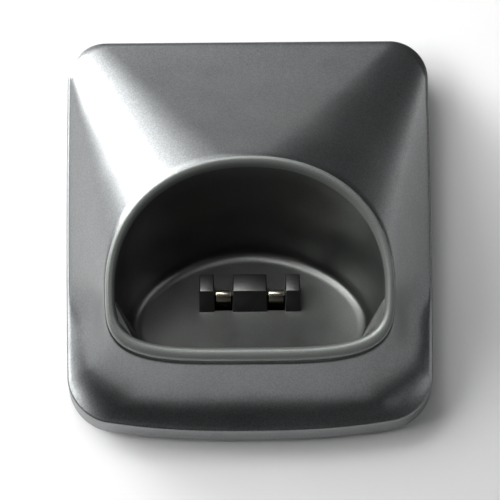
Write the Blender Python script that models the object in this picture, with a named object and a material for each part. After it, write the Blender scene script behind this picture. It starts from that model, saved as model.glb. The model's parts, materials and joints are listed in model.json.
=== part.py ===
"""Charging base of a cordless phone, in metres, +Z up.

The base stands on its four feet at z = 0. Its front faces -Y and its middle plane is x = 0.
A flared shell rises from a rounded-square foot to a D-shaped rim. A leaning cup hangs in the rim,
and two sprung contacts come up through the cup's tilted floor. The charging circuit, its power
inlet and the cable pocket lie behind the cup, on the bottom cover.
"""

import math

import bmesh
import bpy
from mathutils import Matrix, Vector

MM = 0.001

# Foot of the shell
BASE_WIDTH = 75.0 * MM
BASE_DEPTH = 82.5 * MM
FRONT_BOW = 3.75 * MM
FRONT_BOW_POWER = 2.5
SIDE_BOW = 0.4 * MM
CORNER_RADIUS = 7.8 * MM
SKIRT_BOTTOM = 2.6 * MM
SKIRT_TOP = 10.0 * MM
SKIRT_EDGE = 0.35 * MM
SKIRT_FLARE = 0.5 * MM

# Rim of the shell, in its own sloping plane
RIM_HALF_WIDTH = 29.1 * MM
RIM_FRONT_LENGTH = 14.2 * MM
RIM_REAR_LENGTH = 25.2 * MM
RIM_FRONT_HEIGHT = 26.0 * MM
RIM_REAR_HEIGHT = 41.0 * MM
FRONT_RUN = 10.65 * MM
RIM_FRONT_SQUARENESS = 3.8
RIM_REAR_SQUARENESS = 2.16

# Flare between rim and foot: how much steeper than the straight chord it leaves the rim, and how
# much flatter it meets the foot
FLARE_STEEPER = math.radians(13)
FLARE_FLATTER = math.radians(34)
REAR_FLARE_STEEPER = math.radians(3)
REAR_FLARE_FLATTER = math.radians(5)
FLARE_TOP_HANDLE = 0.4
FLARE_FOOT_HANDLE = 0.33

# Cup
LIP_WIDTH = 2.05 * MM
LIP_FRONT_WIDTH = 3.3 * MM
LIP_HEIGHT = 1.4 * MM
NECK_DEPTH = 2.5 * MM
# The lip's rounded section as shares of its width and height, outside its crest and inside it
LIP_OUTER_PROFILE = [(0.42, 1.0), (0.22, 0.86), (0.06, 0.58)]
LIP_INNER_PROFILE = [(0.36, 1.15), (0.62, 0.93), (0.86, 0.5)]
CUP_LEAN = math.radians(18)
CUP_REAR_SHIFT = 10.75 * MM
FLOOR_REAR_HEIGHT = 9.5 * MM
FLOOR_HALF_WIDTH = 24.1 * MM
FLOOR_REAR_LENGTH = 17.5 * MM
FLOOR_FRONT_LENGTH = 9.5 * MM
FLOOR_FRONT_SQUARENESS = 2.8
FLOOR_REAR_SQUARENESS = 1.82
FLOOR_FILLET = 2.6 * MM
GUIDE_REACH = 0.8 * MM
GUIDE_DROP = 4.2 * MM
GUIDE_REAR_OFFSET = 1.5 * MM
GUIDE_WIDTH = 5.6 * MM
ARM_X = 17.5 * MM
ARM_WIDTH = 7.0 * MM
ARM_BOTTOM = 13.0 * MM
ARM_THICKNESS = 2.0 * MM
ARM_REACH = 17.0 * MM

# Contact guide blocks, measured along the floor from its rear edge, and the room in their slots
BLOCK_HEIGHT = 5.3 * MM
BLOCK_REAR = 8.1 * MM
BLOCK_TOP_FRONT = 12.1 * MM
BLOCK_FOOT_FRONT = 14.2 * MM
BLOCK_DRAFT = 0.15 * MM
CENTRE_BLOCK_WIDTH = 6.8 * MM
SIDE_BLOCK_WIDTH = 2.9 * MM
SLOT_REAR_ROOM = 0.6 * MM
SLOT_FRONT_ROOM = 1.0 * MM

# Contacts and their retainer
CONTACT_WIDTH = 3.0 * MM
CONTACT_THICKNESS = 0.45 * MM
CONTACT_PIVOT = 1.5 * MM
CONTACT_RISE = 10.9 * MM
CONTACT_NOSE_HEIGHT = 4.1 * MM
CONTACT_NOSE_RADIUS = 0.75 * MM
RETAINER_HALF_WIDTH = 8.2 * MM
RETAINER_REAR = -0.3 * MM
RETAINER_FRONT = 3.5 * MM
RETAINER_THICKNESS = 2.9 * MM
EAR_THICKNESS = 1.1 * MM
EAR_X = 10.4 * MM
EAR_RADIUS = 2.2 * MM

# Walls and clearance
SHELL_WALL = 1.8 * MM
RIM_WALL = 0.9 * MM
CUP_WALL = 1.5 * MM
COVER_FLOOR = 2.0 * MM
COVER_WALL = 1.5 * MM
CLEARANCE = 0.3 * MM

# Bottom cover and feet
COVER_BOTTOM = 1.0 * MM
COVER_WALL_TOP = 5.5 * MM
COVER_UNDERCUT = 2.8 * MM
COVER_EDGE_INSET = 1.0 * MM
FOOT_RADIUS = 4.5 * MM
FOOT_HEIGHT = 1.5 * MM
FOOT_EDGE = 9.0 * MM
CASE_SCREW_EDGE = 7.0 * MM
CASE_BOSS_DROP = 3.0 * MM
CASE_SCREW_FRONT = 19.5 * MM
CASE_SCREW_REAR = 17.5 * MM
CASE_BOSS_RADIUS = 2.75 * MM
WELL_RADIUS = 3.9 * MM
WELL_TOP = 5.0 * MM
LABEL_WIDTH = 26.0 * MM
LABEL_DEPTH = 16.0 * MM
LABEL_THICKNESS = 0.3 * MM
LABEL_RECESS = 0.5 * MM

# Circuit board, inlet and pocket, measured rearwards from the cup's lower rear edge
BOARD_OFFSET = 9.0 * MM
BOARD_WIDTH = 27.0 * MM
BOARD_DEPTH = 12.5 * MM
BOARD_BOTTOM = 10.0 * MM
BOARD_THICKNESS = 1.4 * MM
POST_X = 10.5 * MM
POST_RADIUS = 2.3 * MM
JACK_WIDTH = 7.6 * MM
JACK_LENGTH = 10.0 * MM
JACK_BORE_RADIUS = 2.2 * MM
JACK_BORE_DEPTH = 8.0 * MM
JACK_PIN_RADIUS = 0.7 * MM
JACK_SPRING_START = 2.5 * MM
JACK_SPRING_DEPTH = 0.6 * MM
POCKET_HALF_WIDTH = 7.0 * MM
POCKET_HEIGHT = 8.3 * MM
POCKET_WALL = 1.4 * MM
POCKET_REAR_GAP = 5.0 * MM
CORD_NOTCH_WIDTH = 6.0 * MM
CORD_NOTCH_TOP = 6.2 * MM
HOOK_REACH = 4.6 * MM
HOOK_THICKNESS = 1.4 * MM
HOOK_LENGTH = 3.0 * MM
LEAD_RADIUS = 0.6 * MM
PARTS_COLUMN_X = -3.0 * MM
CAPACITOR_X = 4.6 * MM
CAPACITOR_ROW = 5.6 * MM
DIODE_ROW = 3.0 * MM
RESISTOR_ROWS = (6.6 * MM, 9.6 * MM)

CAPACITOR_RADIUS = 3.1 * MM
CAPACITOR_HEIGHT = 7.0 * MM
PART_WIRE_RADIUS = 0.3 * MM

# Axial parts: body radius, body length, distance between the bent wires
DIODE_SIZE = (1.2 * MM, 4.0 * MM, 8.0 * MM)
RESISTOR_SIZE = (0.9 * MM, 3.6 * MM, 7.0 * MM)

# Screws: head radius, head height, shank radius, length under the head
CASE_SCREW = (2.4 * MM, 1.6 * MM, 1.25 * MM, 8.0 * MM)
CUP_SCREW = (2.0 * MM, 1.3 * MM, 1.0 * MM, 7.0 * MM)
BOARD_SCREW = (1.8 * MM, 1.2 * MM, 0.9 * MM, 5.5 * MM)
RETAINER_SCREW = (1.6 * MM, 1.1 * MM, 0.8 * MM, 3.8 * MM)

PERIMETER_POINTS = 80
FLARE_STEPS = 8

# Places worked out from the values above
FRONT_Y = -BASE_DEPTH / 2 + SKIRT_FLARE
RIM_FRONT_Y = FRONT_Y + FRONT_RUN
RIM_CENTRE_Y = RIM_FRONT_Y + RIM_FRONT_LENGTH
RIM_REAR_Y = RIM_CENTRE_Y + RIM_REAR_LENGTH
RIM_SLOPE = (RIM_REAR_HEIGHT - RIM_FRONT_HEIGHT) / (RIM_REAR_Y - RIM_FRONT_Y)
CUP_REAR_Y = RIM_REAR_Y - LIP_WIDTH - CUP_REAR_SHIFT
FLOOR_LENGTH = FLOOR_REAR_LENGTH + FLOOR_FRONT_LENGTH
SLOT_WIDTH = CONTACT_WIDTH + 2 * (CLEARANCE + BLOCK_DRAFT)
SLOT_REAR = CONTACT_RISE - CONTACT_THICKNESS / 2 - SLOT_REAR_ROOM
SLOT_FRONT = CONTACT_RISE + 2 * CONTACT_NOSE_RADIUS + CONTACT_THICKNESS / 2 + SLOT_FRONT_ROOM
CONTACT_DEPTH = CUP_WALL + CLEARANCE + RETAINER_THICKNESS / 2
CONTACT_X = (CENTRE_BLOCK_WIDTH + SLOT_WIDTH) / 2
BOARD_FRONT_Y = CUP_REAR_Y + BOARD_OFFSET
BOARD_TOP = BOARD_BOTTOM + BOARD_THICKNESS
BOARD_MIDDLE_Y = BOARD_FRONT_Y + BOARD_DEPTH / 2
COVER_TOP = COVER_BOTTOM + COVER_FLOOR
JACK_REAR_Y = BOARD_FRONT_Y + BOARD_DEPTH
JACK_BOTTOM = COVER_TOP + CLEARANCE
JACK_TOP = BOARD_BOTTOM - CLEARANCE
JACK_AXIS_Z = (JACK_BOTTOM + JACK_TOP) / 2
POCKET_FRONT_Y = JACK_REAR_Y + CLEARANCE + POCKET_WALL
COVER_INSET = SHELL_WALL + CLEARANCE
CASE_SCREW_X = BASE_WIDTH / 2 - CASE_SCREW_EDGE
CASE_BOSS_TOP = RIM_FRONT_HEIGHT - CASE_BOSS_DROP
ARM_Y = CUP_REAR_Y + ARM_REACH

# The cup's own frame: +Y rearwards along the floor, +Z square to it, origin at the floor's rear edge
CUP_FRAME = Matrix.Translation((0, CUP_REAR_Y, FLOOR_REAR_HEIGHT)) @ Matrix.Rotation(-CUP_LEAN, 4, "X")


# ---------------------------------------------------------------- objects and solids


def clear_scene():
    for old in list(bpy.data.objects):
        bpy.data.objects.remove(old)


def plastic(name, colour, roughness, metallic=0.0):
    surface = bpy.data.materials.new(name)
    surface.use_nodes = True
    shader = surface.node_tree.nodes["Principled BSDF"]
    shader.inputs["Base Color"].default_value = (*colour, 1.0)
    shader.inputs["Roughness"].default_value = roughness
    shader.inputs["Metallic"].default_value = metallic
    return surface


def add_object(name, mesh, surface=None, frame=None):
    obj = bpy.data.objects.new(name, mesh)
    bpy.context.scene.collection.objects.link(obj)
    if surface:
        mesh.materials.append(surface)
    if frame:
        obj.matrix_world = frame
    return obj


def solid_from(name, build, surface=None, frame=None):
    """An object whose closed mesh build() makes in a bmesh, with its faces turned outwards."""
    shape = bmesh.new()
    build(shape)
    bmesh.ops.recalc_face_normals(shape, faces=shape.faces)
    mesh = bpy.data.meshes.new(name)
    shape.to_mesh(mesh)
    shape.free()
    return add_object(name, mesh, surface, frame)


def loft(name, rings, surface=None, frame=None):
    """A closed solid through rings of equally many points, with a flat cap on the first and last."""

    def build(shape):
        loops = [[shape.verts.new(point) for point in ring] for ring in rings]
        count = len(rings[0])
        for lower, upper in zip(loops, loops[1:]):
            for i in range(count):
                j = (i + 1) % count
                shape.faces.new((lower[i], lower[j], upper[j], upper[i]))
        shape.faces.new(loops[0])
        shape.faces.new(loops[-1])

    return solid_from(name, build, surface, frame)


def box(name, low, high, surface=None, frame=None):
    rings = []
    for z in (low[2], high[2]):
        rings.append([(low[0], low[1], z), (high[0], low[1], z), (high[0], high[1], z), (low[0], high[1], z)])
    return loft(name, rings, surface, frame)


def disc(centre, radius, z, sides):
    turn = 2 * math.pi / sides
    return [(centre[0] + radius * math.cos(i * turn), centre[1] + radius * math.sin(i * turn), z)
            for i in range(sides)]


def turned(name, profile, surface=None, frame=None, centre=(0, 0), sides=20):
    """A solid of revolution about the frame's Z, through (radius, z) pairs from one end to the other."""
    return loft(name, [disc(centre, radius, z, sides) for radius, z in profile], surface, frame)


def rod(name, centre, radius, low, high, surface=None, frame=None, sides=20):
    return turned(name, [(radius, low), (radius, high)], surface, frame, centre, sides)


def combine(target, other, operation):
    """Applies a Boolean of other on target, and removes other."""
    modifier = target.modifiers.new(operation.lower(), "BOOLEAN")
    modifier.operation = operation
    modifier.solver = "EXACT"
    modifier.object = other
    bpy.context.view_layer.update()
    with bpy.context.temp_override(object=target, active_object=target):
        bpy.ops.object.modifier_apply(modifier=modifier.name)
    bpy.data.objects.remove(other)


def cut(target, *others):
    for other in others:
        combine(target, other, "DIFFERENCE")


def join(target, *others):
    for other in others:
        combine(target, other, "UNION")


def smooth(obj, angle=math.radians(35)):
    obj.data.shade_smooth()
    obj.data.set_sharp_from_angle(angle=angle)


def place_origin(obj, frame):
    """Moves an object's origin to frame, leaving its solid where it is."""
    obj.data.transform(frame.inverted() @ obj.matrix_world)
    obj.matrix_world = frame


def hold(parent, *children):
    bpy.context.view_layer.update()
    for child in children:
        kept = child.matrix_world.copy()
        child.parent = parent
        child.matrix_world = kept


def in_cup(x, along, up):
    """A point given across, forwards along the floor from its rear edge, and square up from it."""
    return CUP_FRAME @ Vector((x, -along, up))


# ---------------------------------------------------------------- outlines


def foot_field(x, y, inset, front_inset):
    """Under 0 inside the foot's outline set in by inset, and by front_inset more at its front."""
    corner = max(CORNER_RADIUS - inset, 1.5 * MM)
    half_depth = BASE_DEPTH / 2
    side = abs(x) - (BASE_WIDTH / 2 - inset - SIDE_BOW * (y / half_depth) ** 2) + corner
    end = abs(y) - (half_depth - inset) + corner
    if y < 0:
        end += front_inset + FRONT_BOW * abs(x / (BASE_WIDTH / 2)) ** FRONT_BOW_POWER
    return math.hypot(max(side, 0), max(end, 0)) + min(max(side, end), 0) - corner


def oval_field(x, y, half_width, front, rear, front_squareness, rear_squareness):
    """Under 0 inside a D whose straighter side is at the front, centred on its widest place."""
    length, power = (rear, rear_squareness) if y > 0 else (front, front_squareness)
    return abs(x / half_width) ** power + abs(y / length) ** power - 1


def reach(field, centre_y, angle):
    """The point where a ray from (0, centre_y) leaves the field's outline."""
    near, far = 0.0, 2 * max(BASE_WIDTH, BASE_DEPTH)
    for _ in range(44):
        middle = (near + far) / 2
        if field(middle * math.cos(angle), centre_y + middle * math.sin(angle)) < 0:
            near = middle
        else:
            far = middle
    return near * math.cos(angle), centre_y + near * math.sin(angle)


def perimeter_angles(count):
    """Directions from the rim's centre, from the front round, closer together at the foot's corners."""
    fine = 1440
    points = []
    for i in range(fine + 1):
        angle = -math.pi / 2 + 2 * math.pi * i / fine
        points.append((angle, reach(lambda x, y: foot_field(x, y, 0, 0), RIM_CENTRE_Y, angle)))
    turn_weight = 12 * MM
    travelled = [0.0]
    heading = None
    for (_, a), (_, b) in zip(points, points[1:]):
        new_heading = math.atan2(b[1] - a[1], b[0] - a[0])
        turn = 0.0 if heading is None else abs(math.remainder(new_heading - heading, 2 * math.pi))
        heading = new_heading
        travelled.append(travelled[-1] + math.hypot(b[0] - a[0], b[1] - a[1]) + turn_weight * turn)
    angles = []
    index = 0
    for i in range(count):
        wanted = travelled[-1] * i / count
        while travelled[index + 1] < wanted:
            index += 1
        share = (wanted - travelled[index]) / (travelled[index + 1] - travelled[index])
        angles.append(points[index][0] + share * 2 * math.pi / fine)
    return angles


ANGLES = perimeter_angles(PERIMETER_POINTS)


def foot_ring(inset, z, front_inset=SKIRT_FLARE):
    """The foot's outline at height z. The skirt's lower edge has no front_inset, so it flares forwards."""

    def field(x, y):
        return foot_field(x, y, inset, front_inset)

    return [Vector((*reach(field, RIM_CENTRE_Y, angle), z)) for angle in ANGLES]


def rim_height(y):
    return RIM_FRONT_HEIGHT + RIM_SLOPE * (y - RIM_FRONT_Y)


def rim_ring(width_inset=0.0, front_inset=0.0, lift=0.0):
    """The rim's D set in by width_inset at its sides and rear and front_inset at its front."""

    def field(x, y):
        return oval_field(x, y - RIM_CENTRE_Y, RIM_HALF_WIDTH - width_inset, RIM_FRONT_LENGTH - front_inset,
                          RIM_REAR_LENGTH - width_inset, RIM_FRONT_SQUARENESS, RIM_REAR_SQUARENESS)

    ring = []
    for angle in ANGLES:
        x, y = reach(field, RIM_CENTRE_Y, angle)
        ring.append(Vector((x, y, rim_height(y) + lift)))
    return ring


def floor_ring(outset=0.0):
    """The corner line between the cup's wall and floor, on the floor's plane."""

    def field(x, y):
        return oval_field(x, y, FLOOR_HALF_WIDTH + outset, FLOOR_FRONT_LENGTH + outset,
                          FLOOR_REAR_LENGTH + outset, FLOOR_FRONT_SQUARENESS, FLOOR_REAR_SQUARENESS)

    ring = []
    for angle in ANGLES:
        x, y = reach(field, 0.0, angle)
        ring.append(in_cup(x, FLOOR_REAR_LENGTH - y, 0.0))
    return ring


# ---------------------------------------------------------------- shell


def blend(share, start, end):
    share = min(max(share, 0.0), 1.0)
    share = share * share * (3 - 2 * share)
    return start + (end - start) * share


def flare_section(top, foot, steps):
    """Points of one concave section of the flare, from the rim down to the foot."""
    outward = Vector((foot.x - top.x, foot.y - top.y, 0))
    chord = (foot - top).length
    slope = math.atan2(top.z - foot.z, outward.length)
    outward.normalize()
    rearness = (outward.y + 0.1) / 0.9
    steeper = slope + blend(rearness, FLARE_STEEPER, REAR_FLARE_STEEPER)
    flatter = slope - blend(rearness, FLARE_FLATTER, REAR_FLARE_FLATTER)
    down = Vector((0, 0, -1))
    start = top + (outward * math.cos(steeper) + down * math.sin(steeper)) * chord * FLARE_TOP_HANDLE
    end = foot - (outward * math.cos(flatter) + down * math.sin(flatter)) * chord * FLARE_FOOT_HANDLE
    section = []
    for step in range(steps + 1):
        t = step / steps
        section.append(top * (1 - t) ** 3 + start * 3 * t * (1 - t) ** 2
                       + end * 3 * t * t * (1 - t) + foot * t ** 3)
    return section


def flare_rings(top_ring, lower_ring, steps):
    sections = [flare_section(top, foot, steps) for top, foot in zip(top_ring, lower_ring)]
    return [list(ring) for ring in zip(*sections)]


def make_shell(surface):
    outer = flare_rings(rim_ring(), foot_ring(SKIRT_EDGE, SKIRT_TOP), FLARE_STEPS)
    outer.append(foot_ring(0, SKIRT_TOP - SKIRT_EDGE))
    outer.append(foot_ring(0, SKIRT_BOTTOM, 0))
    shell = loft("top_shell", outer, surface)

    inner_top = rim_ring(RIM_WALL, RIM_WALL, -RIM_WALL)
    inner_foot = foot_ring(SHELL_WALL + SKIRT_EDGE, SKIRT_TOP - SHELL_WALL)
    cavity_rings = flare_rings(inner_top, inner_foot, FLARE_STEPS // 2)
    cavity_rings.insert(0, rim_ring(RIM_WALL, RIM_WALL, SHELL_WALL))
    cavity_rings.append(foot_ring(SHELL_WALL, SKIRT_TOP - SHELL_WALL * 1.5))
    cavity_rings.append(foot_ring(SHELL_WALL, SKIRT_BOTTOM - SHELL_WALL))
    cavity = loft("shell_cavity", cavity_rings)
    for x, y in case_screw_places():
        cut(cavity, rod("boss", (x, y), CASE_BOSS_RADIUS, WELL_TOP + CLEARANCE, CASE_BOSS_TOP))
    for side in (-1, 1):
        arm_top = ARM_BOTTOM + ARM_THICKNESS
        cut(cavity, rod("boss", (side * ARM_X, ARM_Y), CASE_BOSS_RADIUS, arm_top + CLEARANCE,
                        RIM_REAR_HEIGHT))
    cut(shell, cavity)
    for x, y in case_screw_places():
        head_top = COVER_BOTTOM + CLEARANCE + CASE_SCREW[1]
        cut(shell, rod("pilot", (x, y), CASE_SCREW[2] + CLEARANCE, SKIRT_BOTTOM,
                       head_top + CASE_SCREW[3] + 2 * CLEARANCE, sides=16))
    for side in (-1, 1):
        cut(shell, rod("pilot", (side * ARM_X, ARM_Y), CUP_SCREW[2] + CLEARANCE, ARM_BOTTOM,
                       ARM_BOTTOM + CUP_SCREW[3] + CLEARANCE, sides=16))
    half = CORD_NOTCH_WIDTH / 2
    cut(shell, box("notch", (-half, BASE_DEPTH / 4, 0), (half, BASE_DEPTH, CORD_NOTCH_TOP)))
    smooth(shell)
    return shell


def case_screw_places():
    rear_y = BASE_DEPTH / 2 - CASE_SCREW_REAR
    front_y = FRONT_Y + CASE_SCREW_FRONT
    return [(side * CASE_SCREW_X, y) for y in (front_y, rear_y) for side in (-1, 1)]


# ---------------------------------------------------------------- cup


def mix_rings(first, second, share):
    return [a + (b - a) * share for a, b in zip(first, second)]


def fillet_rings(top_ring, corner_ring, middle, radius, steps):
    """Rings that round the corner between a wall and a floor, from the wall to the floor."""
    rings = []
    for step in range(steps + 1):
        t = step / steps
        ring = []
        for top, corner in zip(top_ring, corner_ring):
            on_wall = corner + (top - corner).normalized() * radius
            on_floor = corner + (middle - corner).normalized() * radius
            ring.append(on_wall * (1 - t) ** 2 + corner * 2 * t * (1 - t) + on_floor * t * t)
        rings.append(ring)
    return rings


def lip_ring(share, height):
    """A ring a share of the way from the lip's outer edge to its inner one, at a share of its height."""
    outer = rim_ring(CLEARANCE / 2, CLEARANCE / 2, LIP_HEIGHT * height)
    inner = rim_ring(LIP_WIDTH, LIP_FRONT_WIDTH, LIP_HEIGHT * height)
    return mix_rings(outer, inner, share)


def make_cup(surface):
    middle = in_cup(0, FLOOR_LENGTH / 2, 0)
    below = in_cup(0, FLOOR_LENGTH / 2, -CUP_WALL)
    drop = below - middle
    neck_inset = RIM_WALL + CLEARANCE
    outer = [lip_ring(share, height) for share, height in LIP_OUTER_PROFILE]
    outer += [lip_ring(0.0, CLEARANCE / LIP_HEIGHT), rim_ring(neck_inset, neck_inset, CLEARANCE),
              rim_ring(neck_inset, neck_inset, -2 * CLEARANCE),
              rim_ring(neck_inset + CLEARANCE, neck_inset + CLEARANCE, -NECK_DEPTH)]
    outer_corner = [point + drop for point in floor_ring(CUP_WALL)]
    outer += fillet_rings(outer[-1], outer_corner, below, FLOOR_FILLET + CUP_WALL / 2, 3)
    cup = loft("handset_cup", outer, surface)
    for side in (-1, 1):
        centre = side * ARM_X
        low = (centre - ARM_WIDTH / 2, CUP_REAR_Y - FLOOR_REAR_LENGTH / 2, ARM_BOTTOM)
        high = (centre + ARM_WIDTH / 2, ARM_Y + ARM_WIDTH / 2, ARM_BOTTOM + ARM_THICKNESS)
        join(cup, box("arm", low, high))
        join(cup, rod("ear_boss", (side * EAR_X, -RETAINER_FRONT / 2), EAR_RADIUS - CLEARANCE,
                      -CUP_WALL - RETAINER_THICKNESS - CLEARANCE + EAR_THICKNESS + CLEARANCE, -CUP_WALL / 2,
                      frame=CUP_FRAME))

    mouth = rim_ring(LIP_WIDTH, LIP_FRONT_WIDTH, -LIP_HEIGHT * 0.5)
    corner = floor_ring()
    well_rings = [lip_ring(share, height) for share, height in LIP_INNER_PROFILE]
    well_rings.append(mouth)
    well_rings += fillet_rings(mouth, corner, middle, FLOOR_FILLET, 4)
    well = loft("well_cavity", well_rings)
    for side in (-1, 1):
        cut(well, guide_solid(side))
    for centre, width in block_places():
        cut(well, block_solid(centre, width))
    cut(cup, well)
    for side in (-1, 1):
        half = SLOT_WIDTH / 2 - BLOCK_DRAFT
        cut(cup, box("slot", (side * CONTACT_X - half, -SLOT_FRONT, -2 * CUP_WALL),
                     (side * CONTACT_X + half, -SLOT_REAR, CUP_WALL), frame=CUP_FRAME))
        cut(cup, rod("arm_hole", (side * ARM_X, ARM_Y), CUP_SCREW[2] + CLEARANCE, 0, SKIRT_TOP * 2, sides=16))
        cut(cup, rod("ear_hole", (side * EAR_X, -RETAINER_FRONT / 2), RETAINER_SCREW[2] + CLEARANCE,
                     -4 * CUP_WALL, -CUP_WALL * 0.6, frame=CUP_FRAME, sides=16))
    smooth(cup)
    return cup


def guide_solid(side):
    """The filled front corner of the well: flat on top, steep towards the handset's foot."""
    rear = Vector((side * (RIM_HALF_WIDTH - LIP_WIDTH), RIM_CENTRE_Y - GUIDE_REAR_OFFSET, 0))
    front = Vector((side * (RIM_HALF_WIDTH - LIP_WIDTH - GUIDE_WIDTH), RIM_FRONT_Y + LIP_FRONT_WIDTH, 0))
    tip = (rear + front) / 2 + Vector((-side, 1, 0)).normalized() * GUIDE_REACH
    beyond = 4 * MM
    outside = Vector((side * (RIM_HALF_WIDTH + beyond), RIM_FRONT_Y - beyond, 0))
    lean = Vector((0, -math.tan(CUP_LEAN), -1))
    rings = []
    for level in (0.0, 1.0):
        ring = []
        for point in (rear, tip, front, outside):
            top = point.copy()
            top.z = rim_height(point.y) - (GUIDE_DROP if point is tip else GUIDE_DROP * 0.25)
            ring.append(top + lean * level * RIM_REAR_HEIGHT)
        rings.append(ring)
    return loft("guide", rings)


def block_places():
    side_centre = CENTRE_BLOCK_WIDTH / 2 + SLOT_WIDTH + SIDE_BLOCK_WIDTH / 2
    return [(-side_centre, SIDE_BLOCK_WIDTH), (0.0, CENTRE_BLOCK_WIDTH), (side_centre, SIDE_BLOCK_WIDTH)]


def block_solid(centre, width):
    """A contact guide block: square behind, sloping in front, drafted at its sides."""
    rings = []
    for up, front, half in ((-CUP_WALL / 2, BLOCK_FOOT_FRONT, width / 2 + BLOCK_DRAFT),
                            (BLOCK_HEIGHT, BLOCK_TOP_FRONT, width / 2)):
        rings.append([(centre - half, -front, up), (centre + half, -front, up),
                      (centre + half, -BLOCK_REAR, up), (centre - half, -BLOCK_REAR, up)])
    return loft("block", rings, frame=CUP_FRAME)


# ---------------------------------------------------------------- contacts


def contact_path():
    """The middle line of a contact, as (along, up) pairs, from its held end to its free end."""
    level = -CONTACT_DEPTH
    bend = 0.8 * MM
    radius = CONTACT_NOSE_RADIUS
    crest = CONTACT_NOSE_HEIGHT - radius - CONTACT_THICKNESS / 2
    path = [(CONTACT_PIVOT - CONTACT_THICKNESS / 2, level), (CONTACT_PIVOT + 3 * MM, level)]
    for step in range(5):
        turn = math.radians(90 * step / 4)
        path.append((CONTACT_RISE - bend + bend * math.sin(turn), level + bend - bend * math.cos(turn)))
    for step in range(9):
        turn = math.radians(180 - 180 * step / 8)
        path.append((CONTACT_RISE + radius + radius * math.cos(turn), crest + radius * math.sin(turn)))
    path.append((CONTACT_RISE + 2 * radius, -CUP_WALL / 3))
    return path


def strip_outline(path, thickness):
    """A closed outline round a bent strip's middle line."""
    left, right = [], []
    for index, (a, b) in enumerate(path):
        before = path[max(index - 1, 0)]
        after = path[min(index + 1, len(path) - 1)]
        run, rise = after[0] - before[0], after[1] - before[1]
        length = math.hypot(run, rise)
        offset = (-rise / length * thickness / 2, run / length * thickness / 2)
        left.append((a + offset[0], b + offset[1]))
        right.append((a - offset[0], b - offset[1]))
    return left + right[::-1]


def make_contact(name, side, surface):
    outline = strip_outline(contact_path(), CONTACT_THICKNESS)
    rings = []
    for edge in (-CONTACT_WIDTH / 2, CONTACT_WIDTH / 2):
        rings.append([(side * CONTACT_X + edge, -along, up) for along, up in outline])
    contact = loft(name, rings, surface, CUP_FRAME)
    place_origin(contact, CUP_FRAME @ Matrix.Translation((side * CONTACT_X, -CONTACT_PIVOT, -CONTACT_DEPTH)))
    smooth(contact)
    return contact


def make_retainer(surface):
    top = -CUP_WALL - CLEARANCE
    bottom = top - RETAINER_THICKNESS
    retainer = box("contact_retainer", (-RETAINER_HALF_WIDTH, -RETAINER_FRONT, bottom),
                   (RETAINER_HALF_WIDTH, -RETAINER_REAR, top), surface, CUP_FRAME)
    for side in (-1, 1):
        place = (side * EAR_X, -RETAINER_FRONT / 2)
        join(retainer, rod("ear", place, EAR_RADIUS, bottom, bottom + EAR_THICKNESS, frame=CUP_FRAME))
        inner = side * (RETAINER_HALF_WIDTH - MM)
        join(retainer, box("ear_web", (min(inner, place[0]), place[1] - EAR_RADIUS * 0.7, bottom),
                           (max(inner, place[0]), place[1] + EAR_RADIUS * 0.7, bottom + EAR_THICKNESS * 0.9),
                           frame=CUP_FRAME))
        cut(retainer, rod("hole", place, RETAINER_SCREW[2] + CLEARANCE, 2 * bottom, 0,
                          frame=CUP_FRAME, sides=16))
        half = CONTACT_WIDTH / 2 + CLEARANCE
        high = CONTACT_THICKNESS / 2 + CLEARANCE
        cut(retainer, box("slot", (side * CONTACT_X - half, -2 * RETAINER_FRONT, -CONTACT_DEPTH - high),
                          (side * CONTACT_X + half, RETAINER_FRONT, -CONTACT_DEPTH + high), frame=CUP_FRAME))
    smooth(retainer)
    return retainer


# ---------------------------------------------------------------- screws


def make_screw(name, size, frame, surface):
    """A pan-head screw with a cross recess: head under z = 0, shank up +Z."""
    head_radius, head_height, shank_radius, length = size
    profile = [(head_radius * 0.62, -head_height), (head_radius * 0.9, -head_height * 0.78),
               (head_radius, -head_height * 0.35), (head_radius, 0), (shank_radius, 0),
               (shank_radius, length - shank_radius), (shank_radius * 0.4, length)]
    screw = turned(name, profile, surface, frame, sides=14)
    arm, half = head_radius * 0.52, head_radius * 0.13
    low, high = -2 * head_height, -head_height * 0.45
    cut(screw, box("cross", (-arm, -half, low), (arm, half, high), frame=frame))
    cut(screw, box("cross", (-half, -arm, low), (half, arm, high), frame=frame))
    smooth(screw)
    return screw


# ---------------------------------------------------------------- bottom cover


def foot_places():
    x = BASE_WIDTH / 2 - FOOT_EDGE
    y = BASE_DEPTH / 2 - FOOT_EDGE
    return {"front_left": (-x, -y), "front_right": (x, -y), "rear_left": (-x, y), "rear_right": (x, y)}


def label_middle():
    return (0.0, CUP_REAR_Y - FLOOR_REAR_LENGTH / 2)


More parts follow.
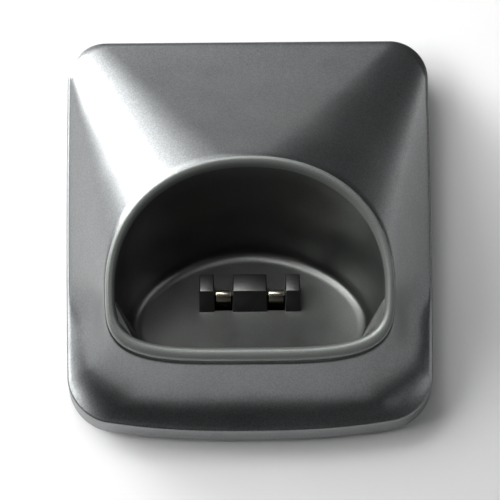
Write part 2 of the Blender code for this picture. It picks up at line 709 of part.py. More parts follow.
def make_cover(surface):
    edge_top = SKIRT_BOTTOM - CLEARANCE
    outside = [foot_ring(COVER_UNDERCUT, COVER_BOTTOM), foot_ring(COVER_EDGE_INSET, edge_top),
               foot_ring(COVER_INSET, edge_top), foot_ring(COVER_INSET, COVER_WALL_TOP)]
    cover = loft("bottom_cover", outside, surface)
    tray = loft("tray", [foot_ring(COVER_INSET + COVER_WALL, COVER_TOP),
                         foot_ring(COVER_INSET + COVER_WALL, COVER_WALL_TOP + MM)])
    cut(cover, tray)
    middle_height = (COVER_BOTTOM + COVER_TOP) / 2
    for x, y in case_screw_places():
        join(cover, rod("well", (x, y), WELL_RADIUS, middle_height, WELL_TOP))
    for side in (-1, 1):
        join(cover, rod("post", (side * POST_X, BOARD_MIDDLE_Y), POST_RADIUS, middle_height,
                        BOARD_BOTTOM - CLEARANCE, sides=16))
    outer = POCKET_HALF_WIDTH + POCKET_WALL
    tray_rear = BASE_DEPTH / 2 - COVER_INSET - COVER_WALL / 2
    pocket_rear = tray_rear - POCKET_REAR_GAP
    join(cover, box("pocket_walls", (-outer, POCKET_FRONT_Y - POCKET_WALL, middle_height),
                    (outer, pocket_rear, COVER_BOTTOM + POCKET_HEIGHT + POCKET_WALL)))
    channel = CORD_NOTCH_WIDTH / 2 + POCKET_WALL
    join(cover, box("channel_walls", (-channel, pocket_rear - POCKET_WALL / 2, middle_height),
                    (channel, tray_rear, CORD_NOTCH_TOP + POCKET_WALL)))
    cut(cover, pocket_cutter(pocket_rear - POCKET_WALL))
    half = JACK_WIDTH / 2 - MM
    cut(cover, box("jack_window", (-half, JACK_REAR_Y, JACK_BOTTOM),
                   (half, POCKET_FRONT_Y + MM, JACK_TOP - MM)))
    half = CORD_NOTCH_WIDTH / 2
    cut(cover, box("notch", (-half, pocket_rear - 2 * POCKET_WALL, 0), (half, BASE_DEPTH, CORD_NOTCH_TOP)))
    cut_cover_holes(cover)
    smooth(cover)
    return cover


def pocket_cutter(rear):
    """The cable pocket, open below, less the two hooks that keep the cord in it."""
    pocket = box("pocket", (-POCKET_HALF_WIDTH, POCKET_FRONT_Y, 0),
                 (POCKET_HALF_WIDTH, rear, COVER_BOTTOM + POCKET_HEIGHT))
    length = rear - POCKET_FRONT_Y
    for side, share in ((-1, 0.45), (1, 0.72)):
        y = POCKET_FRONT_Y + share * length
        wall, tip = side * (POCKET_HALF_WIDTH + MM), side * (POCKET_HALF_WIDTH - HOOK_REACH)
        cut(pocket, box("hook", (min(wall, tip), y, -MM), (max(wall, tip), y + HOOK_LENGTH,
                                                         COVER_BOTTOM + HOOK_THICKNESS)))
    below = box("below", (-POCKET_HALF_WIDTH + MM / 10, POCKET_FRONT_Y + MM / 10, -MM),
                (POCKET_HALF_WIDTH - MM / 10, rear - MM / 10, COVER_BOTTOM / 2))
    join(pocket, below)
    return pocket


def cut_cover_holes(cover):
    head_radius, head_height, shank_radius, _ = CASE_SCREW
    for x, y in case_screw_places():
        seat = COVER_BOTTOM + head_height + 2 * CLEARANCE
        cut(cover, rod("sink", (x, y), head_radius + CLEARANCE, 0, seat))
        cut(cover, rod("hole", (x, y), shank_radius + CLEARANCE, 0, WELL_TOP + MM, sides=16))
    for x, y in foot_places().values():
        cut(cover, rod("foot_recess", (x, y), FOOT_RADIUS + CLEARANCE, 0, FOOT_HEIGHT + CLEARANCE))
    for side in (-1, 1):
        cut(cover, rod("pilot", (side * POST_X, BOARD_MIDDLE_Y), BOARD_SCREW[2] + CLEARANCE,
                       BOARD_TOP - BOARD_SCREW[3] - CLEARANCE, BOARD_TOP, sides=16))
    x, y = label_middle()
    half_width, half_depth = LABEL_WIDTH / 2 + CLEARANCE, LABEL_DEPTH / 2 + CLEARANCE
    cut(cover, box("label_recess", (x - half_width, y - half_depth, 0),
                   (x + half_width, y + half_depth, COVER_BOTTOM + LABEL_RECESS)))


def make_foot(name, place, surface):
    profile = [(FOOT_RADIUS * 0.9, 0), (FOOT_RADIUS, FOOT_HEIGHT * 0.3), (FOOT_RADIUS, FOOT_HEIGHT)]
    foot = turned(name, profile, surface, Matrix.Translation((*place, 0)), sides=24)
    smooth(foot)
    return foot


def make_label(surface):
    x, y = label_middle()
    top = COVER_BOTTOM + LABEL_RECESS - CLEARANCE
    return box("rating_label", (x - LABEL_WIDTH / 2, y - LABEL_DEPTH / 2, top - LABEL_THICKNESS),
               (x + LABEL_WIDTH / 2, y + LABEL_DEPTH / 2, top), surface)


# ---------------------------------------------------------------- circuit


def make_board(surface):
    board = box("charge_board", (-BOARD_WIDTH / 2, BOARD_FRONT_Y, BOARD_BOTTOM),
                (BOARD_WIDTH / 2, BOARD_FRONT_Y + BOARD_DEPTH, BOARD_TOP), surface)
    for side in (-1, 1):
        cut(board, rod("hole", (side * POST_X, BOARD_MIDDLE_Y), BOARD_SCREW[2] + CLEARANCE,
                       0, 2 * BOARD_TOP, sides=16))
    return board


def make_jack(body_surface, metal):
    half = JACK_WIDTH / 2
    body = box("dc_jack_body", (-half, JACK_REAR_Y - JACK_LENGTH, JACK_BOTTOM),
               (half, JACK_REAR_Y, JACK_TOP), body_surface)
    mouth = Matrix.Translation((0, JACK_REAR_Y, JACK_AXIS_Z)) @ Matrix.Rotation(math.radians(90), 4, "X")
    cut(body, rod("bore", (0, 0), JACK_BORE_RADIUS, -MM, JACK_BORE_DEPTH, frame=mouth))
    cut(body, rod("pin_hole", (0, 0), JACK_PIN_RADIUS + CLEARANCE, 0, JACK_LENGTH + MM,
                  frame=mouth, sides=16))
    groove_half = JACK_BORE_RADIUS / 2
    groove_top = JACK_BORE_RADIUS + JACK_SPRING_DEPTH
    cut(body, box("spring_groove", (-groove_half, 0, JACK_SPRING_START - CLEARANCE),
                  (groove_half, groove_top, JACK_BORE_DEPTH - CLEARANCE), frame=mouth))
    smooth(body)
    pin = turned("dc_jack_pin", [(JACK_PIN_RADIUS * 0.6, MM), (JACK_PIN_RADIUS, 1.6 * MM),
                                 (JACK_PIN_RADIUS, JACK_LENGTH - CLEARANCE)], metal, mouth, sides=16)
    smooth(pin)
    half = groove_half - CLEARANCE
    spring = box("dc_jack_spring", (-half, JACK_BORE_RADIUS - JACK_SPRING_DEPTH / 2, JACK_SPRING_START),
                 (half, groove_top - CLEARANCE, JACK_BORE_DEPTH - 2 * CLEARANCE), metal, mouth)
    return body, pin, spring


def make_axial(name, place, size, surface):
    """A resistor or diode lying along X, with its two wires bent down to the board."""
    body_radius, body_length, pitch = size
    wire = PART_WIRE_RADIUS
    height = BOARD_TOP + CLEARANCE + body_radius
    frame = Matrix.Translation((place[0], place[1], height)) @ Matrix.Rotation(math.radians(90), 4, "Y")
    half, reach_out = body_length / 2, pitch / 2
    profile = [(wire, -reach_out), (wire, -half), (body_radius, -half + wire), (body_radius, half - wire),
               (wire, half), (wire, reach_out)]
    part = turned(name, profile, surface, frame, sides=12)
    for side in (-1, 1):
        join(part, rod("leg", (place[0] + side * (reach_out - wire), place[1]), wire * 1.05,
                       BOARD_TOP + CLEARANCE, height + wire * 1.4, sides=8))
    smooth(part)
    return part


def make_capacitor(place, surface):
    radius, bevel = CAPACITOR_RADIUS, CAPACITOR_RADIUS / 10
    groove = 3.5 * bevel
    profile = [(radius * 0.86, 0), (radius, bevel), (radius, groove - bevel), (radius * 0.93, groove),
               (radius, groove + bevel), (radius, CAPACITOR_HEIGHT - bevel),
               (radius * 0.88, CAPACITOR_HEIGHT)]
    can = turned("capacitor", profile, surface, Matrix.Translation((*place, BOARD_TOP + CLEARANCE)))
    smooth(can)
    return can


def smooth_path(points, per_span=3):
    """Points along a smooth curve through the given ones."""
    ends = [points[0]] + points + [points[-1]]
    result = []
    for a, b, c, d in zip(ends, ends[1:], ends[2:], ends[3:]):
        for step in range(per_span):
            t = step / per_span
            result.append(0.5 * ((2 * b) + (c - a) * t + (2 * a - 5 * b + 4 * c - d) * t * t
                                 + (3 * b - a - 3 * c + d) * t ** 3))
    return result + [points[-1]]


def make_lead(name, side, surface):
    """An insulated wire from the board's front edge to the held end of a contact."""
    pad = Vector((side * POST_X * 0.7, BOARD_FRONT_Y + 2.2 * MM, BOARD_TOP + CLEARANCE + LEAD_RADIUS))
    entry = in_cup(side * CONTACT_X, RETAINER_REAR - 1.5 * MM, -CONTACT_DEPTH)
    tip = in_cup(side * CONTACT_X, CONTACT_PIVOT - CONTACT_THICKNESS / 2 - CLEARANCE, -CONTACT_DEPTH)
    route = [pad, pad + Vector((0, -3.5 * MM, 0.2 * MM)),
             Vector((pad.x, CUP_REAR_Y + 4.6 * MM, (pad.z + entry.z) / 2 + 0.5 * MM)),
             Vector((pad.x * 0.9, CUP_REAR_Y + 2.2 * MM, entry.z + 0.2 * MM)), entry,
             in_cup(side * CONTACT_X, RETAINER_REAR, -CONTACT_DEPTH), tip]
    curve = bpy.data.curves.new(name, "CURVE")
    curve.dimensions = "3D"
    curve.bevel_depth = min(LEAD_RADIUS, CONTACT_THICKNESS / 2 + CLEARANCE - MM / 10)
    curve.bevel_resolution = 2
    curve.use_fill_caps = True
    points = smooth_path(route)
    spline = curve.splines.new("POLY")
    spline.points.add(len(points) - 1)
    for target, point in zip(spline.points, points):
        target.co = (*point, 1)
    curve.materials.append(surface)
    lead = bpy.data.objects.new(name, curve)
    bpy.context.scene.collection.objects.link(lead)
    return lead


# ---------------------------------------------------------------- assembly


def main():
    clear_scene()
    paint = plastic("shell_paint", (0.12, 0.125, 0.13), 0.3, 0.7)
    cup_plastic = plastic("cup_plastic", (0.05, 0.052, 0.05), 0.35)
    black_plastic = plastic("black_plastic", (0.02, 0.02, 0.02), 0.5)
    rubber = plastic("foot_rubber", (0.03, 0.03, 0.03), 0.9)
    label_film = plastic("label_film", (0.55, 0.55, 0.56), 0.6)
    spring_metal = plastic("spring_metal", (0.75, 0.68, 0.5), 0.25, 1.0)
    screw_steel = plastic("screw_steel", (0.5, 0.5, 0.52), 0.35, 1.0)
    laminate = plastic("board_laminate", (0.45, 0.33, 0.12), 0.6)
    can_sleeve = plastic("can_sleeve", (0.03, 0.04, 0.08), 0.4)
    resistor_coat = plastic("resistor_coat", (0.55, 0.42, 0.25), 0.6)
    red_insulation = plastic("red_insulation", (0.5, 0.03, 0.02), 0.5)
    black_insulation = plastic("black_insulation", (0.02, 0.02, 0.02), 0.5)

    base = bpy.data.objects.new("charging_base", None)
    cup_axis = bpy.data.objects.new("cup_axis", None)
    for empty in (base, cup_axis):
        bpy.context.scene.collection.objects.link(empty)
    cup_axis.matrix_world = CUP_FRAME
    hold(base, cup_axis)

    hold(base, make_shell(paint), make_cup(cup_plastic), make_cover(black_plastic), make_label(label_film))
    hold(cup_axis, make_retainer(black_plastic))
    for name, side in (("left", -1), ("right", 1)):
        hold(cup_axis, make_contact(f"contact_spring_{name}", side, spring_metal))
        retainer_place = Matrix.Translation((side * EAR_X, -RETAINER_FRONT / 2,
                                             -CUP_WALL - RETAINER_THICKNESS - 2 * CLEARANCE))
        hold(cup_axis, make_screw(f"retainer_screw_{name}", RETAINER_SCREW, CUP_FRAME @ retainer_place,
                                  screw_steel))
        arm_place = Matrix.Translation((side * ARM_X, ARM_Y, ARM_BOTTOM - CLEARANCE))
        hold(base, make_screw(f"cup_screw_{name}", CUP_SCREW, arm_place, screw_steel))
        board_place = Matrix.Translation((side * POST_X, BOARD_MIDDLE_Y, BOARD_TOP + CLEARANCE))
        turned_over = board_place @ Matrix.Rotation(math.pi, 4, "X")
        hold(base, make_screw(f"board_screw_{name}", BOARD_SCREW, turned_over, screw_steel))

    names = ("front_left", "front_right", "rear_left", "rear_right")
    for name, (x, y) in zip(names, case_screw_places()):
        place = Matrix.Translation((x, y, COVER_BOTTOM + CLEARANCE + CASE_SCREW[1]))
        hold(base, make_screw(f"case_screw_{name}", CASE_SCREW, place, screw_steel))
    for name, place in foot_places().items():
        hold(base, make_foot(f"rubber_foot_{name}", place, rubber))

    hold(base, make_board(laminate), *make_jack(black_plastic, spring_metal))
    hold(base, make_capacitor((CAPACITOR_X, BOARD_FRONT_Y + CAPACITOR_ROW), can_sleeve))
    hold(base, make_axial("diode", (PARTS_COLUMN_X, BOARD_FRONT_Y + DIODE_ROW), DIODE_SIZE, black_plastic))
    for name, row in zip(("resistor_front", "resistor_rear"), RESISTOR_ROWS):
        hold(base, make_axial(name, (PARTS_COLUMN_X, BOARD_FRONT_Y + row), RESISTOR_SIZE, resistor_coat))
    hold(base, make_lead("lead_wire_left", -1, red_insulation))
    hold(base, make_lead("lead_wire_right", 1, black_insulation))


main()
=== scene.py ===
"""Charging base of a cordless phone: the finished look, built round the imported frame.

Metres, +Z up. The front faces -Y, the middle plane is x = 0, and the feet stand at z = 0.
"""

import json
import math

import bmesh
import bpy
from bpy.props import FloatProperty, FloatVectorProperty, IntProperty, PointerProperty
from mathutils import Matrix, Vector


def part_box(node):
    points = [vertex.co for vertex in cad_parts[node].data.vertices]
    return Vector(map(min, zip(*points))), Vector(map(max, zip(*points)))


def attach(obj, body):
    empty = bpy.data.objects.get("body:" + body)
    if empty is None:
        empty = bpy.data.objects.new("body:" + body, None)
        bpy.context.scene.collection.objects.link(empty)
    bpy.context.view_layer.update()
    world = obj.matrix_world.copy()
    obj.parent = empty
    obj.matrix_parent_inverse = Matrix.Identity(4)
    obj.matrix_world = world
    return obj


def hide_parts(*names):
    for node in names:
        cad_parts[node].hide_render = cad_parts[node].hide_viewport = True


bl_info = {
    "name": "Charging Base",
    "version": (1, 0, 0),
    "blender": (4, 5, 0),
    "location": "View3D > Sidebar > Charging Base",
    "description": "Builds the visible pieces and finishes of a cordless phone's charging base",
    "category": "Object",
}

MM = 0.001

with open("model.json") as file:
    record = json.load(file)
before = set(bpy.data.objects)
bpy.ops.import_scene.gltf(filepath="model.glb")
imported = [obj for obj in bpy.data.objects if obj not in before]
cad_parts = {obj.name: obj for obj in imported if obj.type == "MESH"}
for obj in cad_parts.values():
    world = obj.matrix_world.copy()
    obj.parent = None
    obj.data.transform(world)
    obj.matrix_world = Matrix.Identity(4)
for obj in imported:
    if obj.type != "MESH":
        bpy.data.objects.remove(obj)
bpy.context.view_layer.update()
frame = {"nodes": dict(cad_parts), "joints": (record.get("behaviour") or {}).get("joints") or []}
SHELL_LOW, SHELL_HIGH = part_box("top_shell")
FOOT_LOW, FOOT_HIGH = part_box("rubber_foot_front_left")

CONTACT_X = frame["joints"][1]["pos_m"][0]

# How square an outline is at its front and at its rear: 2 makes an ellipse
RIM_SQUARENESS = (3.8, 2.16)
FLOOR_SQUARENESS = (2.8, 1.82)

# An outline is traced by halving a ray, with some samples for each point of a ring
RAY_LENGTH = 0.2
HALVINGS = 36
SAMPLES = 4

# The flare's angles from its chord, at the front and at the rear, and its handles as shares of the chord
RIM_STEEPER = (math.radians(13), math.radians(3))
FOOT_FLATTER = (math.radians(34), math.radians(5))
RIM_HANDLE = 0.4
FOOT_HANDLE = 0.33
REAR_START = -0.1
REAR_SPAN = 0.9

# Sections join places that face the same way only towards the rear, by the direction's sine
HEADED_START = -0.35
HEADED_SPAN = 0.8
SMOOTHING_PASSES = 6

# The lip's section, from its outer edge to the well: share of its width, share of its height
LIP_PROFILE = ((0.0, 0.12), (0.0, 0.3), (0.025, 0.5), (0.08, 0.7), (0.17, 0.87), (0.29, 0.97), (0.42, 1.0),
               (0.56, 0.97), (0.69, 0.87), (0.8, 0.7), (0.89, 0.45), (0.95, 0.12), (0.99, -0.3))
LIP_FINISH_DROP = 0.3 * MM
MOUTH_DROP = 0.8

CAMERA_TARGET = (0, -0.0056, 0.02)
CAMERA_SHIFT = (0.0012, 0.0034)
SENSOR_WIDTH = 36.0


# ---- settings


def length(name, description, default):
    return FloatProperty(name=name, description=description, default=default, unit="LENGTH", precision=5)


def colour(name, description, default):
    return FloatVectorProperty(name=name, description=description, default=default, size=3,
                               subtype="COLOR", min=0.0, max=1.0)


def share(name, description, default):
    return FloatProperty(name=name, description=description, default=default, min=0.0, max=1.0)


def rotation(name, description, degrees):
    return FloatProperty(name=name, description=description, default=math.radians(degrees), unit="ROTATION")


class ShellSettings(bpy.types.PropertyGroup):
    front_bow: length("Front bow", "How far the front edge bows forwards", 3.75 * MM)
    side_bow: length("Side bow", "How far the sides bow outwards", 0.4 * MM)
    corner_radius: length("Corner radius", "Radius of the foot's corners", 7.8 * MM)
    skirt_top: length("Skirt top", "Height of the skirt's upper edge", 10.0 * MM)
    skirt_bottom: length("Skirt bottom", "Height of the skirt's lower edge", 2.6 * MM)
    skirt_edge: length("Skirt edge", "Radius of the edge between flare and skirt", 0.45 * MM)
    skirt_flare: length("Skirt flare", "How far the front of the skirt leans out downwards", 0.5 * MM)
    rim_half_width: length("Rim half width", "Half of the rim's width", 29.1 * MM)
    rim_front_length: length("Rim front", "From the rim's widest place to its front", 14.2 * MM)
    rim_rear_length: length("Rim rear", "From the rim's widest place to its rear", 25.2 * MM)
    rim_front_height: length("Rim front height", "Height of the rim at its front", 26.0 * MM)
    rim_rear_height: length("Rim rear height", "Height of the rim at its rear", 41.0 * MM)
    front_run: length("Front run", "From the foot's front to the rim's front", 10.65 * MM)
    wall: length("Wall", "Thickness of the shell", 1.8 * MM)
    rim_wall: length("Rim wall", "Thickness of the shell at its rim", 0.9 * MM)
    rim_round: length("Rim round", "Radius of the shell's edge beside the lip", 0.35 * MM)
    heading_share: share("Heading share", "How far sections join places that face the same way", 0.72)
    notch_width: length("Notch width", "Width of the cord's notch in the rear skirt", 6.0 * MM)
    notch_top: length("Notch top", "Height of the cord's notch", 6.2 * MM)
    points: IntProperty(name="Points", description="Points round each outline", default=224, min=48)
    steps: IntProperty(name="Steps", description="Rings of the flare", default=30, min=6)


class CupSettings(bpy.types.PropertyGroup):
    lip_width: length("Lip width", "Width of the lip at its sides and rear", 2.05 * MM)
    lip_front_width: length("Lip front width", "Width of the lip at its front", 3.3 * MM)
    lip_height: length("Lip height", "Height of the lip's crest over the rim", 1.4 * MM)
    groove: length("Groove", "Width of the groove outside the lip's front", 0.6 * MM)
    seat: length("Seat", "Gap between the lip and the shell's rim", 0.15 * MM)
    lean: rotation("Lean", "Tilt of the floor", 18)
    rear_shift: length("Rear shift", "From the lip's rear to the floor's rear edge", 10.75 * MM)
    floor_height: length("Floor height", "Height of the floor's rear edge", 9.5 * MM)
    floor_half_width: length("Floor half width", "Half of the floor's width", 24.1 * MM)
    floor_rear: length("Floor rear", "From the floor's widest place to its rear", 17.5 * MM)
    floor_front: length("Floor front", "From the floor's widest place to its front", 9.5 * MM)
    fillet: length("Fillet", "Radius between the well's wall and floor", 2.6 * MM)
    wall: length("Wall", "Thickness of the cup", 1.5 * MM)
    neck: length("Neck", "Depth of the neck inside the rim", 2.5 * MM)
    guide_reach: length("Guide reach", "How far each corner guide stands into the well", 0.8 * MM)
    guide_drop: length("Guide drop", "Fall of a guide's top towards the well", 4.2 * MM)
    guide_width: length("Guide width", "How far a guide reaches along the front", 5.6 * MM)
    block_height: length("Block height", "Height of the contact blocks", 5.3 * MM)
    block_rear: length("Block rear", "Floor's rear edge to the blocks", 8.1 * MM)
    block_top_front: length("Block top", "Floor's rear edge to the blocks' upper front", 12.1 * MM)
    block_foot_front: length("Block foot", "Floor's rear edge to the blocks' lower front", 14.2 * MM)
    block_draft: length("Block draft", "How much wider each block is at its foot", 0.15 * MM)
    centre_block: length("Centre block", "Width of the middle block", 6.8 * MM)
    side_block: length("Side block", "Width of each outer block", 2.9 * MM)
    slot_width: length("Slot width", "Width between the blocks", 3.9 * MM)
    slot_rear: length("Slot rear", "Floor's rear edge to the slots", 10.075 * MM)
    slot_front: length("Slot front", "Floor's rear edge to the slots' front", 13.625 * MM)


class ContactSettings(bpy.types.PropertyGroup):
    width: length("Width", "Width of a contact spring", 3.0 * MM)
    thickness: length("Thickness", "Thickness of a contact spring", 0.45 * MM)
    pivot: length("Held end", "Floor's rear edge to the spring's held end", 1.5 * MM)
    depth: length("Depth", "Depth of the leaf under the floor", 3.25 * MM)
    rise: length("Rise", "Floor's rear edge to the rising leg", 10.9 * MM)
    nose_height: length("Nose height", "Height of the nose over the floor", 4.1 * MM)
    nose_radius: length("Nose radius", "Radius of the nose", 0.75 * MM)


class FinishSettings(bpy.types.PropertyGroup):
    paint: colour("Paint", "Metallic paint of the shell", (0.213, 0.221, 0.224))
    cup: colour("Cup", "Dark satin finish inside the cup", (0.15, 0.156, 0.15))
    lip: colour("Lip", "Pale satin finish of the lip", (0.27, 0.285, 0.272))
    black: colour("Black", "Black plastic", (0.022, 0.022, 0.023))
    rubber: colour("Rubber", "Rubber of the feet", (0.03, 0.03, 0.031))
    contact: colour("Contact", "Plated contact metal", (0.78, 0.72, 0.58))
    steel: colour("Steel", "Zinc plated screws", (0.6, 0.6, 0.62))
    laminate: colour("Laminate", "Circuit board laminate", (0.42, 0.28, 0.1))
    label: colour("Label", "Blank label film", (0.62, 0.62, 0.63))


class StageSettings(bpy.types.PropertyGroup):
    distance: length("Distance", "From the camera to the base", 0.922)
    tilt: rotation("Tilt", "Camera's angle from straight down", 12.66)
    yaw: rotation("Yaw", "Camera's turn about the upright", -0.5)
    roll: rotation("Roll", "Camera's turn about its own line of sight", -0.48)
    lens: FloatProperty(name="Lens", description="Focal length in millimetres", default=327.3)
    floor_size: length("Floor size", "Side of the floor", 8.0)
    backdrop: share("Backdrop", "Brightness of the backdrop and of the far floor", 0.8)
    mirrored_floor: length("Mirrored floor", "Diameter of the floor that the paint reflects", 0.22)
    floor_colour: colour("Floor colour", "Pale floor", (0.86, 0.86, 0.86))


# ---- outlines


def foot_field(x, y, inset, front_inset, made):
    """Under 0 inside the foot's outline set in by inset, and by front_inset more at its front."""
    half_width = (SHELL_HIGH.x - SHELL_LOW.x) / 2
    half_depth = (SHELL_HIGH.y - SHELL_LOW.y) / 2
    corner = max(made.corner_radius - inset, 1.5 * MM)
    side = abs(x) - (half_width - inset - made.side_bow * (y / half_depth) ** 2) + corner
    end = abs(y) - (half_depth - inset) + corner
    if y < 0:
        end += front_inset + made.front_bow * abs(x / half_width) ** 2.5
    return math.hypot(max(side, 0), max(end, 0)) + min(max(side, end), 0) - corner


def oval_field(x, y, half_width, front, rear, squareness):
    """Under 0 inside a D whose straighter side is at the front."""
    reach_y, power = (rear, squareness[1]) if y > 0 else (front, squareness[0])
    return abs(x / half_width) ** power + abs(y / reach_y) ** power - 1


def outline_point(field, centre_y, angle):
    """Where a ray from (0, centre_y) leaves the field's outline."""
    near, far = 0.0, RAY_LENGTH
    for _ in range(HALVINGS):
        middle = (near + far) / 2
        if field(middle * math.cos(angle), centre_y + middle * math.sin(angle)) < 0:
            near = middle
        else:
            far = middle
    return near * math.cos(angle), centre_y + near * math.sin(angle)


class Outlines:
    """The shell's and the cup's outlines, as rings of points in the same directions from the rim's middle."""

    def __init__(self, shell, cup):
        self.shell = shell
        self.cup = cup
        self.front_y = SHELL_LOW.y + shell.skirt_flare
        self.rim_front_y = self.front_y + shell.front_run
        self.centre_y = self.rim_front_y + shell.rim_front_length
        self.rim_rear_y = self.centre_y + shell.rim_rear_length
        self.slope = (shell.rim_rear_height - shell.rim_front_height) / (self.rim_rear_y - self.rim_front_y)
        cup_rear_y = self.rim_rear_y - cup.lip_width - cup.rear_shift
        self.cup_frame = (Matrix.Translation((0, cup_rear_y, cup.floor_height))
                          @ Matrix.Rotation(-cup.lean, 4, "X"))
        self.angles = self.directions(shell.points)
        self.rim_angles = self.headed_directions()

    def directions(self, count):
        """Directions from the front round, closer together where the foot's outline turns."""
        fine = SAMPLES * count
        turn_weight = 14 * MM
        places = self.trace(lambda x, y: foot_field(x, y, 0, 0, self.shell), self.centre_y,
                            lambda x, y: Vector((x, y)),
                            [-math.pi / 2 + 2 * math.pi * i / fine for i in range(fine + 1)])
        travelled = [0.0]
        heading = None
        for a, b in zip(places, places[1:]):
            step = b - a
            new_heading = math.atan2(step.y, step.x)
            turn = 0.0 if heading is None else abs(math.remainder(new_heading - heading, 2 * math.pi))
            heading = new_heading
            travelled.append(travelled[-1] + step.length + turn_weight * turn)
        angles = []
        index = 0
        for i in range(count):
            wanted = travelled[-1] * i / count
            while travelled[index + 1] < wanted:
                index += 1
            part = (wanted - travelled[index]) / (travelled[index + 1] - travelled[index])
            angles.append(-math.pi / 2 + 2 * math.pi * (index + part) / fine)
        return angles

    def headed_directions(self):
        """For each direction, the one in which the rim is met by the section of the flare from the foot."""
        count = SAMPLES * len(self.angles)
        dense = [-math.pi / 2 + 2 * math.pi * i / count for i in range(count)]
        rim_headings = headings(self.rim(angles=dense))
        foot_headings = headings(self.foot(0.0, 0.0))
        met = []
        index = 0
        for angle, heading in zip(self.angles, foot_headings):
            while index < count - 1 and rim_headings[index + 1] < heading:
                index += 1
            rearness = (math.sin(angle) - HEADED_START) / HEADED_SPAN
            met.append(angle + smooth_share(rearness, 0.0, self.shell.heading_share) * (dense[index] - angle))
        for _ in range(SMOOTHING_PASSES):
            met = [(met[i - 1] - (2 * math.pi if i == 0 else 0) + 2 * met[i]
                    + met[(i + 1) % len(met)] + (2 * math.pi if i == len(met) - 1 else 0)) / 4
                   for i in range(len(met))]
        return met

    def trace(self, field, centre_y, place, angles=None):
        """The ring of places where rays from (0, centre_y) leave the field's outline."""
        return [place(*outline_point(field, centre_y, angle)) for angle in angles or self.angles]

    def foot(self, inset, z, front_inset=None):
        front = self.shell.skirt_flare if front_inset is None else front_inset
        return self.trace(lambda x, y: foot_field(x, y, inset, front, self.shell), self.centre_y,
                          lambda x, y: Vector((x, y, z)))

    def rim_height(self, y):
        return self.shell.rim_front_height + self.slope * (y - self.rim_front_y)

    def rim(self, width_inset=0.0, front_inset=0.0, lift=0.0, angles=None):
        half_width = self.shell.rim_half_width - width_inset
        front = self.shell.rim_front_length - front_inset
        rear = self.shell.rim_rear_length - width_inset
        middle = self.centre_y
        return self.trace(lambda x, y: oval_field(x, y - middle, half_width, front, rear, RIM_SQUARENESS),
                          middle, lambda x, y: Vector((x, y, self.rim_height(y) + lift)), angles)

    def floor(self, outset=0.0):
        """The corner between the cup's wall and its floor."""
        half_width = self.cup.floor_half_width + outset
        front, rear = self.cup.floor_front + outset, self.cup.floor_rear + outset
        return self.trace(lambda x, y: oval_field(x, y, half_width, front, rear, FLOOR_SQUARENESS), 0.0,
                          lambda x, y: self.in_cup(x, self.cup.floor_rear - y, 0.0))

    def in_cup(self, x, along, up):
        """A point given across, forwards along the floor from its rear edge, and square up from it."""
        return self.cup_frame @ Vector((x, -along, up))


def headings(ring):
    """The direction that each place of a ring faces, growing all the way round from the front."""
    faced = []
    for before, after in zip(ring[-1:] + ring[:-1], ring[1:] + ring[:1]):
        heading = math.atan2(before.x - after.x, after.y - before.y)
        while faced and heading < faced[-1] - math.pi:
            heading += 2 * math.pi
        faced.append(max(heading, faced[-1]) if faced else heading)
    return faced


def between(first, second, part):
    return [a + (b - a) * part for a, b in zip(first, second)]


def smooth_share(part, start, end):
    """From start to end as part goes from 0 to 1, with a soft beginning and end."""
    part = min(max(part, 0.0), 1.0)
    part = part * part * (3 - 2 * part)
    return start + (end - start) * part


def flare_section(top, foot, steps):
    """One concave section of the flare: steeper than its chord at the rim, flatter at the foot."""
    outward = Vector((foot.x - top.x, foot.y - top.y, 0))
    chord = (foot - top).length
    slope = math.atan2(top.z - foot.z, outward.length)
    outward.normalize()
    rearness = (outward.y - REAR_START) / REAR_SPAN
    steeper = slope + smooth_share(rearness, *RIM_STEEPER)
    flatter = slope - smooth_share(rearness, *FOOT_FLATTER)
    down = Vector((0, 0, -1))
    start = top + (outward * math.cos(steeper) + down * math.sin(steeper)) * chord * RIM_HANDLE
    end = foot - (outward * math.cos(flatter) + down * math.sin(flatter)) * chord * FOOT_HANDLE
    section = []
    for step in range(steps + 1):
        t = step / steps
        section.append(top * (1 - t) ** 3 + start * 3 * t * (1 - t) ** 2
                       + end * 3 * t * t * (1 - t) + foot * t ** 3)
    return section


def flare(top_ring, foot_ring, steps):
    sections = [flare_section(top, foot, steps) for top, foot in zip(top_ring, foot_ring)]
    return [list(ring) for ring in zip(*sections)]


# ---- modelling by hand


def deselect():
    if bpy.context.mode != "OBJECT":
        bpy.ops.object.mode_set(mode="OBJECT")
    bpy.ops.object.select_all(action="DESELECT")


def choose(obj):
    deselect()
    obj.select_set(True)
    bpy.context.view_layer.objects.active = obj


def open_mesh(obj):
    """Opens an object for editing, with nothing in it selected."""
    choose(obj)
    bpy.ops.object.mode_set(mode="EDIT")
    bpy.ops.mesh.select_mode(type="VERT")
    bpy.ops.mesh.select_all(action="DESELECT")
    return bmesh.from_edit_mesh(obj.data)


def close_mesh():
    bpy.ops.object.mode_set(mode="OBJECT")


def settle(obj):
    """Moves an object's place, turn and size into its mesh."""
    choose(obj)
    bpy.ops.object.transform_apply(location=True, rotation=True, scale=True)
    return obj


def smooth(obj, degrees):
    choose(obj)
    bpy.ops.object.shade_smooth_by_angle(angle=math.radians(degrees))


